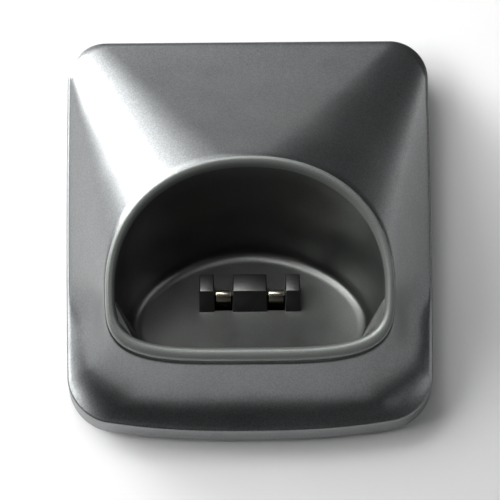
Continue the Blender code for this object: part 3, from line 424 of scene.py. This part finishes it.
def draw_skin(name, rings, ends="fill"):
    """A skin through rings of points: a circle laid on the first, then extruded to each of the others.

    Its ends are filled, or joined to each other where the skin closes on itself.
    """
    deselect()
    bpy.ops.mesh.primitive_circle_add(vertices=len(rings[0]), radius=MM)
    obj = bpy.context.object
    obj.name = name
    mesh = open_mesh(obj)
    order = mesh.verts.layers.int.new("order")
    for index, vert in enumerate(mesh.verts):
        vert[order] = index
        vert.co = rings[0][index]
    bpy.ops.mesh.select_all(action="SELECT")
    for ring in rings[1:]:
        bpy.ops.mesh.extrude_region()
        mesh = bmesh.from_edit_mesh(obj.data)
        order = mesh.verts.layers.int["order"]
        for vert in mesh.verts:
            if vert.select:
                vert.co = ring[vert[order]]
    if ends == "fill":
        bpy.ops.mesh.edge_face_add()
    mesh = bmesh.from_edit_mesh(obj.data)
    bpy.ops.mesh.select_all(action="DESELECT")
    for edge in mesh.edges:
        if edge.is_boundary:
            edge.select_set(True)
    if ends == "fill":
        bpy.ops.mesh.edge_face_add()
    else:
        bpy.ops.mesh.bridge_edge_loops()
    mesh = bmesh.from_edit_mesh(obj.data)
    mesh.verts.layers.int.remove(mesh.verts.layers.int["order"])
    bpy.ops.mesh.select_all(action="SELECT")
    bpy.ops.mesh.normals_make_consistent(inside=False)
    close_mesh()
    return obj


def soften(obj, width, segments=3, degrees=30.0):
    """Rounds an object's edges."""
    choose(obj)
    bevel = obj.modifiers.new("soft_edges", "BEVEL")
    bevel.width = width
    bevel.segments = segments
    bevel.limit_method = "ANGLE"
    bevel.angle_limit = math.radians(degrees)
    bpy.ops.object.modifier_apply(modifier=bevel.name)


def combine(target, other, operation):
    """Joins other to target, or cuts it away, and removes it."""
    choose(target)
    change = target.modifiers.new(operation.lower(), "BOOLEAN")
    change.operation = operation
    change.solver = "EXACT"
    change.object = other
    bpy.ops.object.modifier_apply(modifier=change.name)
    bpy.data.objects.remove(other)


def draw_block(name, low, high, frame_of=None):
    """A block between two corners, from a cube scaled in edit mode."""
    deselect()
    low, high = Vector(low), Vector(high)
    bpy.ops.mesh.primitive_cube_add(size=1.0, location=(low + high) / 2)
    obj = bpy.context.object
    obj.name = name
    obj.scale = high - low
    settle(obj)
    if frame_of is not None:
        obj.matrix_world = frame_of
        settle(obj)
    return obj


# ---- finishes


class Finish:
    """A new material and its Principled shader, with short ways to add nodes."""

    def __init__(self, name, base, roughness, metallic=0.0):
        self.material = bpy.data.materials.new(name)
        self.material.use_nodes = True
        self.tree = self.material.node_tree
        self.shader = self.tree.nodes["Principled BSDF"]
        self.shader.inputs["Base Color"].default_value = (*base, 1.0)
        self.shader.inputs["Roughness"].default_value = roughness
        self.shader.inputs["Metallic"].default_value = metallic
        self.place = self.tree.nodes.new("ShaderNodeTexCoord").outputs["Object"]
        self.base = base

    def node(self, kind, **values):
        node = self.tree.nodes.new(kind)
        for name, value in values.items():
            setattr(node, name, value)
        return node

    def link(self, out, into):
        self.tree.links.new(out, into)

    def noise(self, scale, detail=2.0, roughness=0.5):
        node = self.node("ShaderNodeTexNoise")
        node.inputs["Scale"].default_value = scale
        node.inputs["Detail"].default_value = detail
        node.inputs["Roughness"].default_value = roughness
        self.link(self.place, node.inputs["Vector"])
        return node.outputs["Fac"]

    def uneven(self, scale, detail, low=0.0, high=1.0):
        """Noise spread evenly from low to high."""
        return self.spread(self.noise(scale, detail), 0.3, 0.7, low, high)

    def cells(self, scale, output="Color"):
        node = self.node("ShaderNodeTexVoronoi")
        node.inputs["Scale"].default_value = scale
        self.link(self.place, node.inputs["Vector"])
        return node.outputs[output]

    def spread(self, value, low, high, new_low, new_high):
        """Maps a value from one range to another, held inside it."""
        node = self.node("ShaderNodeMapRange")
        limits = {"From Min": low, "From Max": high, "To Min": new_low, "To Max": new_high}
        for socket, number in limits.items():
            node.inputs[socket].default_value = number
        self.link(value, node.inputs["Value"])
        return node.outputs["Result"]

    def tint(self, value, low_colour, high_colour):
        """From one fixed colour to another as value goes from 0 to 1."""
        node = self.node("ShaderNodeMix", data_type="RGBA")
        self.link(value, node.inputs["Factor"])
        node.inputs["A"].default_value = (*low_colour, 1.0)
        node.inputs["B"].default_value = (*high_colour, 1.0)
        return node.outputs["Result"]

    def mix(self, value, first, second):
        """From one node's colour to another's as value goes from 0 to 1."""
        node = self.node("ShaderNodeMix", data_type="RGBA")
        for out, socket in ((value, "Factor"), (first, "A"), (second, "B")):
            self.link(out, node.inputs[socket])
        return node.outputs["Result"]

    def bump(self, height, distance, strength):
        node = self.node("ShaderNodeBump")
        node.inputs["Distance"].default_value = distance
        node.inputs["Strength"].default_value = strength
        self.link(height, node.inputs["Height"])
        return node.outputs["Normal"]

    def with_painted_edge_highlights(self, colour_out, low, high, factor, amount):
        """Paints a highlight on outer edges: turns a colour by an amount to a lighter shade of the base
        there.
        """
        pointiness = self.node("ShaderNodeNewGeometry").outputs["Pointiness"]
        edges = self.spread(pointiness, low, high, 0.0, 1.0)
        # Painted highlight: a lighter shade of the base laid on the edges that pointiness finds
        light = self.tint(edges, self.base, self.shade(factor))
        return self.mix(self.spread(edges, 0.0, 1.0, 0.0, amount), colour_out, light)

    def shade(self, factor):
        return tuple(min(channel * factor, 1.0) for channel in self.base)

    def colour_from(self, out):
        self.link(out, self.shader.inputs["Base Color"])

    def roughness_from(self, out):
        self.link(out, self.shader.inputs["Roughness"])

    def normal_from(self, out):
        self.link(out, self.shader.inputs["Normal"])


def metallic_paint(base):
    """Satin metallic paint: fine flakes, a soft cloudiness and a painted highlight on its edges."""
    made = Finish("shell_paint", base, 0.35, 1.0)
    flakes = made.spread(made.cells(5200.0), 0.15, 0.85, 0.0, 1.0)
    flecked = made.tint(flakes, made.shade(0.82), made.shade(1.2))
    cloud = made.spread(made.noise(55.0, 3.0), 0.35, 0.65, 0.0, 1.0)
    clouded = made.mix(made.spread(cloud, 0.0, 1.0, 0.0, 0.12), flecked,
                       made.tint(cloud, made.shade(0.9), made.base))
    # The lighter edges are a painted highlight, not polish or wear
    made.colour_from(made.with_painted_edge_highlights(clouded, 0.53, 0.62, 1.35, 0.5))
    made.roughness_from(made.uneven(140.0, 4.0, 0.33, 0.38))
    made.normal_from(made.bump(made.noise(3600.0, 1.0), 0.004 * MM, 0.6))
    made.shader.inputs["Coat Weight"].default_value = 0.08
    made.shader.inputs["Coat Roughness"].default_value = 0.22
    return made.material


def satin_plastic(name, base, roughness, metallic):
    """The cup's satin plastic: a fine even grain, a little cloudiness and a painted highlight on its edges.
    """
    made = Finish(name, base, roughness, metallic)
    grained = made.tint(made.uneven(4200.0, 2.0), made.shade(0.9), made.shade(1.1))
    # The lighter edges are a painted highlight
    made.colour_from(made.with_painted_edge_highlights(grained, 0.54, 0.64, 1.5, 0.6))
    made.roughness_from(made.uneven(170.0, 4.0, roughness - 0.03, roughness + 0.04))
    made.normal_from(made.bump(made.noise(2600.0, 2.0), 0.004 * MM, 0.6))
    return made.material


def black_plastic(name, base, roughness=0.5):
    """Textured black plastic."""
    made = Finish(name, base, roughness)
    grain = made.noise(1900.0, 3.0, 0.6)
    made.colour_from(made.tint(made.spread(grain, 0.3, 0.7, 0.0, 1.0), made.shade(0.8), made.shade(1.35)))
    made.roughness_from(made.uneven(120.0, 3.0, roughness - 0.05, roughness + 0.08))
    made.normal_from(made.bump(grain, 0.02 * MM, 0.7))
    return made.material


def foot_rubber(base):
    """Matte rubber with dust in its grain."""
    made = Finish("foot_rubber", base, 0.85)
    dust = made.spread(made.noise(420.0, 4.0, 0.65), 0.5, 0.75, 0.0, 1.0)
    made.colour_from(made.tint(dust, made.base, made.shade(2.4)))
    made.normal_from(made.bump(made.noise(2600.0, 3.0), 0.02 * MM, 0.8))
    made.shader.inputs["Sheen Weight"].default_value = 0.1
    return made.material


def plated_metal(name, base, roughness, stretch):
    """Plated metal with fine drawn lines along one direction and light handling marks."""
    made = Finish(name, base, roughness, 1.0)
    mapping = made.node("ShaderNodeMapping")
    mapping.inputs["Scale"].default_value = stretch
    made.link(made.place, mapping.inputs["Vector"])
    made.place = mapping.outputs["Vector"]
    drawn = made.noise(900.0, 3.0)
    made.colour_from(made.tint(made.spread(drawn, 0.3, 0.7, 0.0, 1.0), made.shade(0.88), made.shade(1.06)))
    made.roughness_from(made.spread(drawn, 0.3, 0.7, roughness - 0.05, roughness + 0.08))
    made.normal_from(made.bump(drawn, 0.006 * MM, 0.5))
    return made.material


def board_laminate(base):
    """Bare board laminate with a faint weave and copper pads seen through the varnish."""
    made = Finish("board_laminate", base, 0.42)
    weave = made.node("ShaderNodeTexWave", wave_type="BANDS", bands_direction="DIAGONAL")
    weave.inputs["Scale"].default_value = 700.0
    weave.inputs["Distortion"].default_value = 1.5
    made.link(made.place, weave.inputs["Vector"])
    woven = made.tint(weave.outputs["Fac"], made.shade(0.85), made.shade(1.1))
    pads = made.spread(made.cells(260.0, "Distance"), 0.16, 0.2, 1.0, 0.0)
    made.colour_from(made.mix(pads, woven, made.tint(pads, (0.6, 0.32, 0.16), (0.68, 0.38, 0.2))))
    made.normal_from(made.bump(weave.outputs["Fac"], 0.01 * MM, 0.5))
    return made.material


def label_film(base):
    """Blank satin film, a little mottled."""
    made = Finish("label_film", base, 0.45)
    made.colour_from(made.tint(made.uneven(300.0, 4.0), made.shade(0.93), made.shade(1.03)))
    made.normal_from(made.bump(made.noise(900.0, 2.0), 0.01 * MM, 0.4))
    return made.material


def coated(name, base, roughness):
    """A glossy or satin coating with small unevenness, for wires and small parts."""
    made = Finish(name, base, roughness)
    made.colour_from(made.tint(made.uneven(700.0, 3.0), made.shade(0.85), made.shade(1.12)))
    made.normal_from(made.bump(made.noise(1500.0, 2.0), 0.01 * MM, 0.5))
    return made.material


def give(obj, material):
    obj.data.materials.clear()
    obj.data.materials.append(material)


def finish_nodes(names, material):
    for name in names:
        give(frame["nodes"][name], material)


# ---- operators


def context_shell():
    return bpy.context.scene.base_shell


def context_cup():
    return bpy.context.scene.base_cup


class BASE_OT_shell(bpy.types.Operator):
    """Make the flared outer shell with its skirt, its rim and the notch for the cord"""

    bl_idname = "charging_base.add_shell"
    bl_label = "Outer Shell"

    def execute(self, context):
        made = context.scene.base_shell
        lines = Outlines(made, context.scene.base_cup)
        round_off = made.rim_round
        flare_drop = 0.12 * MM
        lower_round = 0.2 * MM
        skirt_steps = 4

        def rim(inset, lift):
            return lines.rim(inset, inset, lift, lines.rim_angles)

        outer = flare(rim(0.0, -flare_drop), lines.foot(made.skirt_edge, made.skirt_top), made.steps)
        rings = [rim(made.rim_wall, -made.wall), rim(made.rim_wall, -round_off),
                 rim(made.rim_wall - round_off * 0.3, -round_off * 0.3),
                 rim(round_off, 0.0), rim(round_off * 0.4, 0.0)]
        rings += outer
        for step in range(1, skirt_steps + 1):
            turn = math.radians(90 * step / skirt_steps)
            inset = made.skirt_edge * (1 - math.sin(turn))
            rings.append(lines.foot(inset, made.skirt_top - made.skirt_edge * (1 - math.cos(turn))))
        for level in (0.33, 0.66):
            z = (made.skirt_top - made.skirt_edge
                 + (made.skirt_bottom - made.skirt_top + made.skirt_edge) * level)
            rings.append(lines.foot(0.0, z, made.skirt_flare * (1 - level)))
        rings += [lines.foot(0.0, made.skirt_bottom + lower_round, 0.0),
                  lines.foot(lower_round, made.skirt_bottom, 0.0),
                  lines.foot(made.wall - lower_round, made.skirt_bottom, 0.0),
                  lines.foot(made.wall, made.skirt_bottom + lower_round),
                  lines.foot(made.wall, made.skirt_top - made.wall * 1.5)]
        inner = flare(rim(made.rim_wall, -made.wall),
                      lines.foot(made.wall + made.skirt_edge, made.skirt_top - made.wall), made.steps // 2)
        rings += inner[:0:-1]
        shell = draw_skin("shell_skin", rings, ends="bridge")
        half = made.notch_width / 2
        notch = draw_block("notch", (-half, SHELL_HIGH.y / 2, 0.0), (half, 2 * SHELL_HIGH.y, made.notch_top))
        soften(notch, 0.6 * MM)
        combine(shell, notch, "DIFFERENCE")
        smooth(shell, 40.0)
        give(shell, metallic_paint(context.scene.base_finish.paint))
        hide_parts("top_shell")
        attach(shell, "base")
        return {"FINISHED"}


class BASE_OT_cup(bpy.types.Operator):
    """Make the leaning cup with its lip, corner guides, contact blocks and slots"""

    bl_idname = "charging_base.add_cup"
    bl_label = "Handset Cup"

    def execute(self, context):
        made = context.scene.base_cup
        lines = Outlines(context.scene.base_shell, made)
        cup = draw_skin("cup_body", self.cup_rings(made, lines))
        for side in (-1, 1):
            combine(cup, self.guide(made, lines, side), "UNION")
        side_centre = made.centre_block / 2 + made.slot_width + made.side_block / 2
        for centre, width in ((-side_centre, made.side_block), (0.0, made.centre_block),
                              (side_centre, made.side_block)):
            combine(cup, self.block(made, lines, centre, width), "UNION")
        half = made.slot_width / 2 - made.block_draft
        for side in (-1, 1):
            slot = draw_block("slot", (side * CONTACT_X - half, -made.slot_front, -3 * made.wall),
                              (side * CONTACT_X + half, -made.slot_rear, made.wall), lines.cup_frame)
            combine(cup, slot, "DIFFERENCE")
        smooth(cup, 32.0)
        finish = context.scene.base_finish
        give(cup, satin_plastic("cup_plastic", finish.cup, 0.34, 0.98))
        cup.data.materials.append(satin_plastic("lip_satin", finish.lip, 0.46, 0.55))
        self.finish_lip(cup, lines)
        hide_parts("handset_cup")
        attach(cup, "base")
        return {"FINISHED"}

    def finish_lip(self, cup, lines):
        """Gives the pale finish to the faces that stand over the rim or just under it."""
        for face in cup.data.polygons:
            if face.center.z > lines.rim_height(face.center.y) - LIP_FINISH_DROP:
                face.material_index = 1

    def lip_ring(self, made, lines, part, height):
        """A ring a share of the way across the lip, at a share of its height over the rim."""
        outer = lines.rim(made.seat, made.groove, made.lip_height * height)
        inner = lines.rim(made.lip_width, made.lip_front_width, made.lip_height * height)
        return between(outer, inner, part)

    def cup_rings(self, made, lines):
        """Rings from the middle of the underside up the outside, over the lip and down into the well."""
        middle = lines.in_cup(0, (made.floor_rear + made.floor_front) / 2, 0)
        below = lines.in_cup(0, (made.floor_rear + made.floor_front) / 2, -made.wall)
        outer_corner = [point + below - middle for point in lines.floor(made.wall)]
        neck_inset = context_shell().rim_wall + 0.3 * MM
        lower_inset = context_shell().rim_wall + 0.6 * MM
        neck = lines.rim(neck_inset, neck_inset, -0.6 * MM)
        lower_neck = lines.rim(lower_inset, lower_inset, -made.neck)
        outside = self.fillet(lower_neck, outer_corner, below, made.fillet + made.wall / 2, 8)
        rings = [between(outside[-1], [below] * len(outer_corner), part) for part in (0.96, 0.5)]
        rings += outside[::-1]
        rings += [lower_neck, neck, lines.rim(neck_inset, neck_inset, 0.1 * MM)]
        rings += [self.lip_ring(made, lines, part, height) for part, height in LIP_PROFILE]
        mouth = lines.rim(made.lip_width, made.lip_front_width, -made.lip_height * MOUTH_DROP)
        corner = lines.floor()
        inside = self.fillet(mouth, corner, middle, made.fillet, 12)
        rings += [mouth] + [between(mouth, inside[0], part) for part in (0.15, 0.35, 0.6, 0.85)]
        rings += inside
        rings += [between(inside[-1], [middle] * len(corner), part) for part in (0.15, 0.5, 0.96)]
        return rings

    def fillet(self, top_ring, corner_ring, middle, radius, steps):
        """Rings round the inside of a corner, from the wall to the floor."""
        rings = []
        for step in range(steps + 1):
            t = step / steps
            ring = []
            for top, corner in zip(top_ring, corner_ring):
                on_wall = corner + (top - corner).normalized() * radius
                on_floor = corner + (middle - corner).normalized() * radius
                ring.append(on_wall * (1 - t) ** 2 + corner * 2 * t * (1 - t) + on_floor * t * t)
            rings.append(ring)
        return rings

    def guide(self, made, lines, side):
        """The filled front corner of the well, with a sharp softened edge round its sloping top."""
        shell = context_shell()
        rear_offset, depth = 1.5 * MM, 12 * MM
        corner_inset, corner_offset = 1.2 * MM, 2.2 * MM
        rear = Vector((side * (shell.rim_half_width - made.lip_width), lines.centre_y - rear_offset, 0))
        front = Vector((side * (shell.rim_half_width - made.lip_width - made.guide_width),
                        lines.rim_front_y + made.lip_front_width, 0))
        tip = (rear + front) / 2 + Vector((-side, 1, 0)).normalized() * made.guide_reach
        corner = Vector((side * (shell.rim_half_width - corner_inset), lines.rim_front_y + corner_offset, 0))
        lean = Vector((0, -math.tan(made.lean), -1))
        rings = []
        for level in (0.0, 1.0):
            ring = []
            for point in (rear, tip, front, corner):
                top = point.copy()
                top.z = lines.rim_height(point.y) - made.guide_drop * (1.0 if point is tip else 0.25)
                ring.append(top + lean * level * depth)
            rings.append(ring)
        guide = draw_skin("guide", rings)
        into_wall = made.wall / 2
        mouth = (made.lip_width - into_wall, made.lip_front_width - into_wall)
        room = draw_skin("room", [lines.floor(into_wall), lines.rim(*mouth, -made.lip_height * MOUTH_DROP),
                                  lines.rim(*mouth, made.lip_height)])
        combine(guide, room, "INTERSECT")
        soften(guide, 0.12 * MM)
        return guide

    def block(self, made, lines, centre, width):
        """A guide block whose front slopes and whose foot is a little wider than its top."""
        rings = []
        for up, front, half in ((-made.wall / 2, made.block_foot_front, width / 2 + made.block_draft),
                                (made.block_height, made.block_top_front, width / 2)):
            rings.append([lines.in_cup(centre - half, front, up), lines.in_cup(centre + half, front, up),
                          lines.in_cup(centre + half, made.block_rear, up),
                          lines.in_cup(centre - half, made.block_rear, up)])
        block = draw_skin("block", rings)
        soften(block, 0.22 * MM)
        return block


class BASE_OT_contacts(bpy.types.Operator):
    """Make the two sprung contacts that rise between the blocks"""

    bl_idname = "charging_base.add_contacts"
    bl_label = "Contact Springs"

    def execute(self, context):
        made = context.scene.base_contact
        lines = Outlines(context.scene.base_shell, context.scene.base_cup)
        metal = plated_metal("contact_metal", context.scene.base_finish.contact, 0.22, (0.25, 1.0, 1.0))
        for name, side in (("left", -1), ("right", 1)):
            spring = self.spring(made, lines, f"contact_leaf_{name}", side)
            give(spring, metal)
            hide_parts(f"contact_spring_{name}")
            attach(spring, f"contact_{name}")
        return {"FINISHED"}

    def path(self, made):
        """The leaf's middle line, as (along, up) pairs, from its held end over the nose to its free end."""
        level, bend, radius = -made.depth, 0.8 * MM, made.nose_radius
        held, bend_steps, nose_steps = 3 * MM, 8, 16
        crest = made.nose_height - radius - made.thickness / 2
        points = [(made.pivot - made.thickness / 2, level), (made.pivot + held, level)]
        for step in range(bend_steps + 1):
            turn = math.radians(90 * step / bend_steps)
            points.append((made.rise - bend + bend * math.sin(turn), level + bend - bend * math.cos(turn)))
        for step in range(nose_steps + 1):
            turn = math.radians(180 - 180 * step / nose_steps)
            points.append((made.rise + radius + radius * math.cos(turn), crest + radius * math.sin(turn)))
        points.append((made.rise + 2 * radius, -context_cup().wall / 3))
        return points

    def spring(self, made, lines, name, side):
        """A flat strip drawn along the middle line, with softened edges."""
        points = [Vector(point) for point in self.path(made)]
        left, right = side * CONTACT_X - made.width / 2, side * CONTACT_X + made.width / 2
        rings = []
        for before, point, after in zip(points[:1] + points, points, points[1:] + points[-1:]):
            run = (after - before).normalized()
            out = Vector((-run.y, run.x)) * made.thickness / 2
            rings.append([lines.in_cup(x, *(point + shift))
                          for x, shift in ((left, out), (right, out), (right, -out), (left, -out))])
        spring = draw_skin(name, rings)
        soften(spring, 0.07 * MM, 2, 50.0)
        smooth(spring, 40.0)
        return spring


class BASE_OT_feet(bpy.types.Operator):
    """Make the four rubber feet"""

    bl_idname = "charging_base.add_feet"
    bl_label = "Rubber Feet"

    def execute(self, context):
        rubber = foot_rubber(context.scene.base_finish.rubber)
        radius = (FOOT_HIGH.x - FOOT_LOW.x) / 2
        height = FOOT_HIGH.z - FOOT_LOW.z
        margin, slope, dent = 0.35 * MM, 0.6 * MM, 0.15 * MM
        deselect()
        bpy.ops.mesh.primitive_cylinder_add(vertices=64, radius=radius, depth=height,
                                            location=(0, 0, height / 2))
        pattern = settle(bpy.context.object)
        mesh = open_mesh(pattern)
        for face in mesh.faces:
            if face.normal.z < -0.5:
                face.select_set(True)
        bpy.ops.mesh.inset(thickness=margin, depth=0.0)
        bpy.ops.mesh.inset(thickness=slope, depth=-dent)
        close_mesh()
        soften(pattern, 0.16 * MM)
        smooth(pattern, 40.0)
        give(pattern, rubber)
        for place in ("front_left", "front_right", "rear_left", "rear_right"):
            low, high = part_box(f"rubber_foot_{place}")
            foot = pattern.copy()
            foot.data = pattern.data.copy()
            foot.name = f"foot_{place}"
            context.scene.collection.objects.link(foot)
            foot.location = ((low.x + high.x) / 2, (low.y + high.y) / 2, 0)
            settle(foot)
            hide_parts(f"rubber_foot_{place}")
            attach(foot, "base")
        bpy.data.objects.remove(pattern)
        return {"FINISHED"}


class BASE_OT_finishes(bpy.types.Operator):
    """Give the cover, the circuit, the wires and the fasteners their finishes"""

    bl_idname = "charging_base.finish_frame"
    bl_label = "Cover and Circuit Finishes"

    def execute(self, context):
        chosen = context.scene.base_finish
        black = black_plastic("black_plastic", chosen.black)
        metal = plated_metal("jack_metal", chosen.contact, 0.25, (1.0, 0.25, 1.0))
        finish_nodes(("bottom_cover", "contact_retainer", "dc_jack_body"), black)
        finish_nodes(("diode",), black_plastic("diode_case", chosen.black, 0.35))
        finish_nodes(("dc_jack_pin", "dc_jack_spring"), metal)
        finish_nodes(("rating_label",), label_film(chosen.label))
        finish_nodes(("charge_board",), board_laminate(chosen.laminate))
        finish_nodes(("capacitor",), coated("can_sleeve", (0.03, 0.04, 0.09), 0.3))
        finish_nodes(("resistor_front", "resistor_rear"), coated("resistor_coat", (0.56, 0.43, 0.26), 0.45))
        finish_nodes(("lead_wire_left",), coated("red_insulation", (0.5, 0.03, 0.025), 0.4))
        finish_nodes(("lead_wire_right",), coated("black_insulation", (0.02, 0.02, 0.02), 0.4))
        steel = plated_metal("screw_steel", chosen.steel, 0.3, (1.0, 1.0, 0.3))
        finish_nodes([name for name in frame["nodes"] if "screw" in name], steel)
        return {"FINISHED"}


# Soft boxes round the base: name, azimuth from +X and elevation in degrees, width, height, radiance
SOFT_BOX_DISTANCE = 0.8
SOFT_BOXES = (
    ("window", 142.0, 10.0, 0.42, 0.3, 28.0),
    ("upper_window", 158.0, 34.0, 0.36, 0.34, 4.0),
    ("rear_left_card", 120.0, 8.0, 0.3, 0.28, 5.0),
    ("rear_card", 102.0, 8.0, 0.3, 0.28, 2.0),
    ("upper_left", 180.0, 50.0, 0.4, 0.34, 6.0),
    ("upper_rear", 128.0, 60.0, 0.4, 0.34, 5.0),
    ("ceiling", 95.0, 80.0, 0.3, 0.4, 1.0),
    ("right_fill", 0.0, 40.0, 0.56, 0.3, 1.2),
    ("front_fill", 312.0, 28.0, 0.56, 0.3, 0.3),
)


def soft_box(name, azimuth, elevation, width, height, radiance):
    """A rectangular lamp facing the base, as bright everywhere as radiance says."""
    azimuth, elevation = math.radians(azimuth), math.radians(elevation)
    lamp = bpy.data.lights.new(name, "AREA")
    lamp.shape = "RECTANGLE"
    lamp.size = width
    lamp.size_y = height
    lamp.energy = radiance * math.pi * width * height
    obj = bpy.data.objects.new(name, lamp)
    place = Vector((math.cos(elevation) * math.cos(azimuth), math.cos(elevation) * math.sin(azimuth),
                    math.sin(elevation)))
    obj.location = place * SOFT_BOX_DISTANCE
    obj.rotation_euler = (-place).to_track_quat("-Z", "Y").to_euler()
    obj.visible_camera = False
    bpy.context.scene.collection.objects.link(obj)


class BASE_OT_stage(bpy.types.Operator):
    """Set up the pale floor, the soft light and the camera"""

    bl_idname = "charging_base.set_stage"
    bl_label = "Floor, Light and Camera"

    def execute(self, context):
        made = context.scene.base_stage
        self.floor(made)
        self.light(context.scene)
        self.camera(context.scene, made)
        return {"FINISHED"}

    def floor(self, made):
        """A pale floor, lit by the lamps and given a painted glow that brightens it far away, and a glowing
        backdrop round it, together standing in for a studio sweep.
        """
        glow_start, glow_full = 0.3, 1.3
        backdrop_radius, backdrop_height = made.floor_size / 2.1, made.floor_size / 2
        finish = Finish("floor_paint", made.floor_colour, 0.75)
        finish.colour_from(finish.tint(finish.uneven(40.0, 3.0), finish.shade(0.985), finish.base))
        away = finish.node("ShaderNodeVectorMath", operation="LENGTH")
        finish.link(finish.place, away.inputs[0])
        # Painted glow: the floor's own emission grows with distance from the base
        finish.link(finish.spread(away.outputs["Value"], glow_start, glow_full, 0.0, made.backdrop),
                    finish.shader.inputs["Emission Strength"])
        finish.shader.inputs["Emission Color"].default_value = (1.0, 1.0, 1.0, 1.0)
        deselect()
        bpy.ops.mesh.primitive_plane_add(size=made.floor_size, location=(0, 0, -0.03 * MM))
        floor = bpy.context.object
        floor.name = "floor"
        self.show_to_camera_only(floor)
        bpy.ops.mesh.primitive_circle_add(vertices=96, radius=made.mirrored_floor / 2, fill_type="NGON",
                                          location=(0, 0, -0.02 * MM))
        near_floor = bpy.context.object
        near_floor.name = "near_floor"
        for piece in (floor, near_floor):
            give(piece, finish.material)
        bpy.ops.mesh.primitive_cylinder_add(vertices=96, radius=backdrop_radius, depth=backdrop_height,
                                            end_fill_type="NOTHING", location=(0, 0, backdrop_radius / 2))
        backdrop = bpy.context.object
        backdrop.name = "backdrop"
        self.show_to_camera_only(backdrop)
        backdrop.visible_shadow = False
        wall = Finish("backdrop_paint", (0.0, 0.0, 0.0), 1.0)
        wall.shader.inputs["Emission Color"].default_value = (1.0, 1.0, 1.0, 1.0)
        wall.shader.inputs["Emission Strength"].default_value = made.backdrop
        give(backdrop, wall.material)

    def show_to_camera_only(self, piece):
        """Keeps a piece of the stage out of the base's reflections and shading."""
        piece.visible_glossy = False
        piece.visible_diffuse = False

    def light(self, scene):
        """A dim room and the soft boxes."""
        world = bpy.data.worlds.new("room")
        world.use_nodes = True
        background = world.node_tree.nodes["Background"]
        background.inputs["Color"].default_value = (0.95, 0.97, 1.0, 1.0)
        background.inputs["Strength"].default_value = 0.05
        scene.world = world
        scene.view_settings.view_transform = "Standard"
        for name, azimuth, elevation, width, height, radiance in SOFT_BOXES:
            soft_box(name, azimuth, elevation, width, height, radiance)

    def camera(self, scene, made):
        """A long lens nearly overhead, looking at a place inside the base."""
        forward = Vector((-math.sin(made.yaw) * math.sin(made.tilt), math.sin(made.tilt) * math.cos(made.yaw),
                          -math.cos(made.tilt)))
        up = Vector((0, 1, 0))
        up = (up - forward * up.dot(forward)).normalized()
        right = forward.cross(up)
        turned_right = right * math.cos(made.roll) + up * math.sin(made.roll)
        turned_up = up * math.cos(made.roll) - right * math.sin(made.roll)
        lens = bpy.data.cameras.new("camera")
        lens.sensor_width = SENSOR_WIDTH
        lens.lens = made.lens
        lens.shift_x, lens.shift_y = CAMERA_SHIFT
        lens.clip_start = 0.01
        camera = bpy.data.objects.new("camera", lens)
        turn = Matrix((turned_right, turned_up, -forward)).transposed().to_4x4()
        camera.matrix_world = Matrix.Translation(Vector(CAMERA_TARGET) - forward * made.distance) @ turn
        scene.collection.objects.link(camera)
        scene.camera = camera


class BASE_PT_panel(bpy.types.Panel):
    """The charging base's operators and settings"""

    bl_idname = "BASE_PT_panel"
    bl_label = "Charging Base"
    bl_space_type = "VIEW_3D"
    bl_region_type = "UI"
    bl_category = "Charging Base"

    def draw(self, context):
        for operator in OPERATORS:
            self.layout.operator(operator.bl_idname)
        for name in SETTINGS:
            column = self.layout.column(align=True)
            group = getattr(context.scene, name)
            for setting in group.bl_rna.properties.keys():
                if setting not in ("rna_type", "name"):
                    column.prop(group, setting)


OPERATORS = (BASE_OT_stage, BASE_OT_shell, BASE_OT_cup, BASE_OT_contacts, BASE_OT_feet, BASE_OT_finishes)
SETTINGS = {"base_shell": ShellSettings, "base_cup": CupSettings, "base_contact": ContactSettings,
            "base_finish": FinishSettings, "base_stage": StageSettings}


def register():
    for group in SETTINGS.values():
        bpy.utils.register_class(group)
    for operator in OPERATORS:
        bpy.utils.register_class(operator)
    bpy.utils.register_class(BASE_PT_panel)
    for name, group in SETTINGS.items():
        setattr(bpy.types.Scene, name, PointerProperty(type=group))


def unregister():
    for name in SETTINGS:
        delattr(bpy.types.Scene, name)
    bpy.utils.unregister_class(BASE_PT_panel)
    for operator in reversed(OPERATORS):
        bpy.utils.unregister_class(operator)
    for group in reversed(SETTINGS.values()):
        bpy.utils.unregister_class(group)


def clear_startup():
    for name in ("Cube", "Light", "Camera"):
        if name in bpy.data.objects:
            bpy.data.objects.remove(bpy.data.objects[name])


def main():
    register()
    clear_startup()
    bpy.ops.charging_base.set_stage()
    bpy.ops.charging_base.add_shell()
    bpy.ops.charging_base.add_cup()
    bpy.ops.charging_base.add_contacts()
    bpy.ops.charging_base.add_feet()
    bpy.ops.charging_base.finish_frame()
    deselect()


if __name__ == "__main__":
    main()
